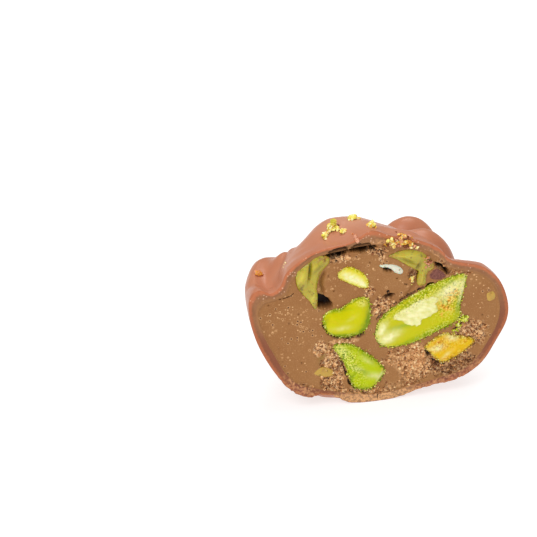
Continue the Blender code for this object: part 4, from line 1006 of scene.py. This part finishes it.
# Heaps dragged over the cut by the knife: x, z, spread along x and z, count, lowest and highest sort
CUT_HEAPS = [(1.5, 26, 0.5, 0.5, 30, 0.25, 0.76), (2.7, 26.1, 0.6, 0.45, 44, 0.5, 0.76),
             (3.8, 25.8, 0.6, 0.5, 40, 0.55, 0.74), (4.6, 25, 0.4, 0.6, 32, 0.45, 1),
             # next: dark brown grains as painted shade in a hole of the cut heap
             (3.8, 25.1, 0.35, 0.5, 30, 0.9, 1), (2.4, 25.2, 0.45, 0.25, 20, 0.8, 0.88),
             (1.4, 24.7, 0.3, 0.3, 14, 0.3, 0.7), (4.5, 24.5, 0.5, 0.25, 14, 0.3, 0.7),
             (0.7, 25.2, 0.5, 0.4, 14, 0.88, 1), (3.2, 26.4, 0.9, 0.2, 16, 0.88, 1),
             (7, 22.3, 0.5, 0.8, 26, 0.72, 0.95), (-3.7, 27, 0.3, 0.25, 10, 0.76, 0.82),
             (4.8, 19.4, 0.3, 0.6, 14, 0.3, 0.66)]
CREAM_TOP, RIM_DEPTH = 23, 1.6  # lower heaps lie on the cream; the others within this depth of the cut
draw = random.Random(11)
bm = bmesh.new()
sort = bm.verts.layers.float.new("sort")
for x, y, reach, height, count, small, large, first, last in HEAPS:
    for _ in range(count):
        gx, gy = draw.gauss(0, 0.55 * reach), draw.gauss(0, 0.55 * reach)
        size = draw.uniform(small, large)
        hit = crown_tree.ray_cast(Vector((x + gx, max(y + gy, 0.1), 60)), Vector((0, 0, -1)))[0]
        pile = height * math.exp(-(gx * gx + gy * gy) / (0.7 * reach) ** 2) * draw.random()
        add_grain(bm, sort, hit + Vector((0, 0, pile + 0.3 * size)), size, draw.uniform(first, last), 0.4)
for x, z, wide, high, count, first, last in CUT_HEAPS:
    for _ in range(count):
        px, pz, size = x + draw.gauss(0, 0.6 * wide), z + draw.gauss(0, 0.6 * high), draw.uniform(0.14, 0.34)
        hit = crown_tree.ray_cast(Vector((px, -9, pz)), Vector((0, 1, 0)))[0]
        front = hit.y if hit else 9.0
        if z < CREAM_TOP:
            front, size = 0.0, 0.7 * size
        if front < RIM_DEPTH:
            place = Vector((px, front - draw.uniform(0.2, 1.3) * size, pz))
            add_grain(bm, sort, place, size, draw.uniform(first, last), 0.4)
crumbs = as_object(bm, "crown_crumbs")
crumbs.data.shade_flat()
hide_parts("coating")
crumbs.data.materials.append(grain_material("chopped_pistachio", {
    0: (196, 186, 50), 0.15: (232, 212, 84), 0.35: (252, 234, 124), 0.5: (255, 246, 186), 0.6: (242, 192, 72),
    0.7: (214, 132, 54), 0.78: (228, 166, 134), 0.84: (214, 140, 110), 0.9: (150, 84, 44), 1: (96, 50, 24)},
    0.5, 0.1))


# White table, soft light and the camera: the truffle stands on a seamless white table under a
# broad soft light from above, seen from 28 degrees above and a little from the left.
TABLE_REACH, LIGHT_AIM = 3.0, (0, 0, 0.012)  # metres
bm = bmesh.new()
bmesh.ops.create_grid(bm, x_segments=1, y_segments=1, size=TABLE_REACH)
table_mesh = bpy.data.meshes.new("table")
bm.to_mesh(table_mesh)
bm.free()
table = bpy.data.objects.new("table", table_mesh)
bpy.context.scene.collection.objects.link(table)
material, tree, shader = new_material("white_table", 0.7, specular=0.2)
shader.inputs["Base Color"].default_value = (0.42, 0.42, 0.42, 1)
shader.inputs["Emission Color"].default_value = (1, 1, 1, 1)
shader.inputs["Emission Strength"].default_value = 0.68
table_mesh.materials.append(material)

world = bpy.data.worlds.new("studio")
bpy.context.scene.world = world
world.use_nodes = True
world.node_tree.nodes["Background"].inputs["Color"].default_value = (1, 1, 1, 1)
world.node_tree.nodes["Background"].inputs["Strength"].default_value = 0.5


def soft_light(name, place, aim, size, power):
    """Square area light in metres that faces a point."""
    light = bpy.data.lights.new(name, "AREA")
    light.size, light.energy = size, power
    lamp = bpy.data.objects.new(name, light)
    lamp.location = place
    lamp.rotation_euler = (Vector(aim) - Vector(place)).to_track_quat("-Z", "Y").to_euler()
    bpy.context.scene.collection.objects.link(lamp)


soft_light("key", (-0.25, -0.30, 0.45), LIGHT_AIM, 0.30, 1.5)
soft_light("top", (0.10, 0.15, 0.60), LIGHT_AIM, 0.40, 1.7)

# The camera stands back from a point of the cut that shows at ANCHOR_PIXEL in a square picture
AZIMUTH, ELEVATION, DISTANCE = math.radians(-15), math.radians(28), 450
MM_PER_PIXEL, PICTURE_SIZE, ANCHOR_PIXEL = 0.145, 537, (377.5, 312)
SENSOR = 36
anchor = Vector((-0.4, 0, 14.5))
right = Vector((math.cos(AZIMUTH), math.sin(AZIMUTH), 0))
level = Vector((math.sin(AZIMUTH), -math.cos(AZIMUTH), 0))
back = level * math.cos(ELEVATION) + Vector((0, 0, math.sin(ELEVATION)))
over, under = (pixel - PICTURE_SIZE / 2 for pixel in ANCHOR_PIXEL)
where = anchor + back * DISTANCE
aim = anchor - right * over * MM_PER_PIXEL + back.cross(right) * under * MM_PER_PIXEL
lens = bpy.data.cameras.new("camera")
lens.sensor_width = SENSOR
lens.lens = SENSOR * DISTANCE / MM_PER_PIXEL / PICTURE_SIZE
lens.clip_start, lens.clip_end = 0.01, 20
camera = bpy.data.objects.new("camera", lens)
camera.location = CUT_TO_MODEL @ where
camera.rotation_euler = (CUT_TO_MODEL @ aim - CUT_TO_MODEL @ where).to_track_quat("-Z", "Y").to_euler()
bpy.context.scene.collection.objects.link(camera)
bpy.context.scene.camera = camera
bpy.context.scene.view_settings.view_transform = "Standard"
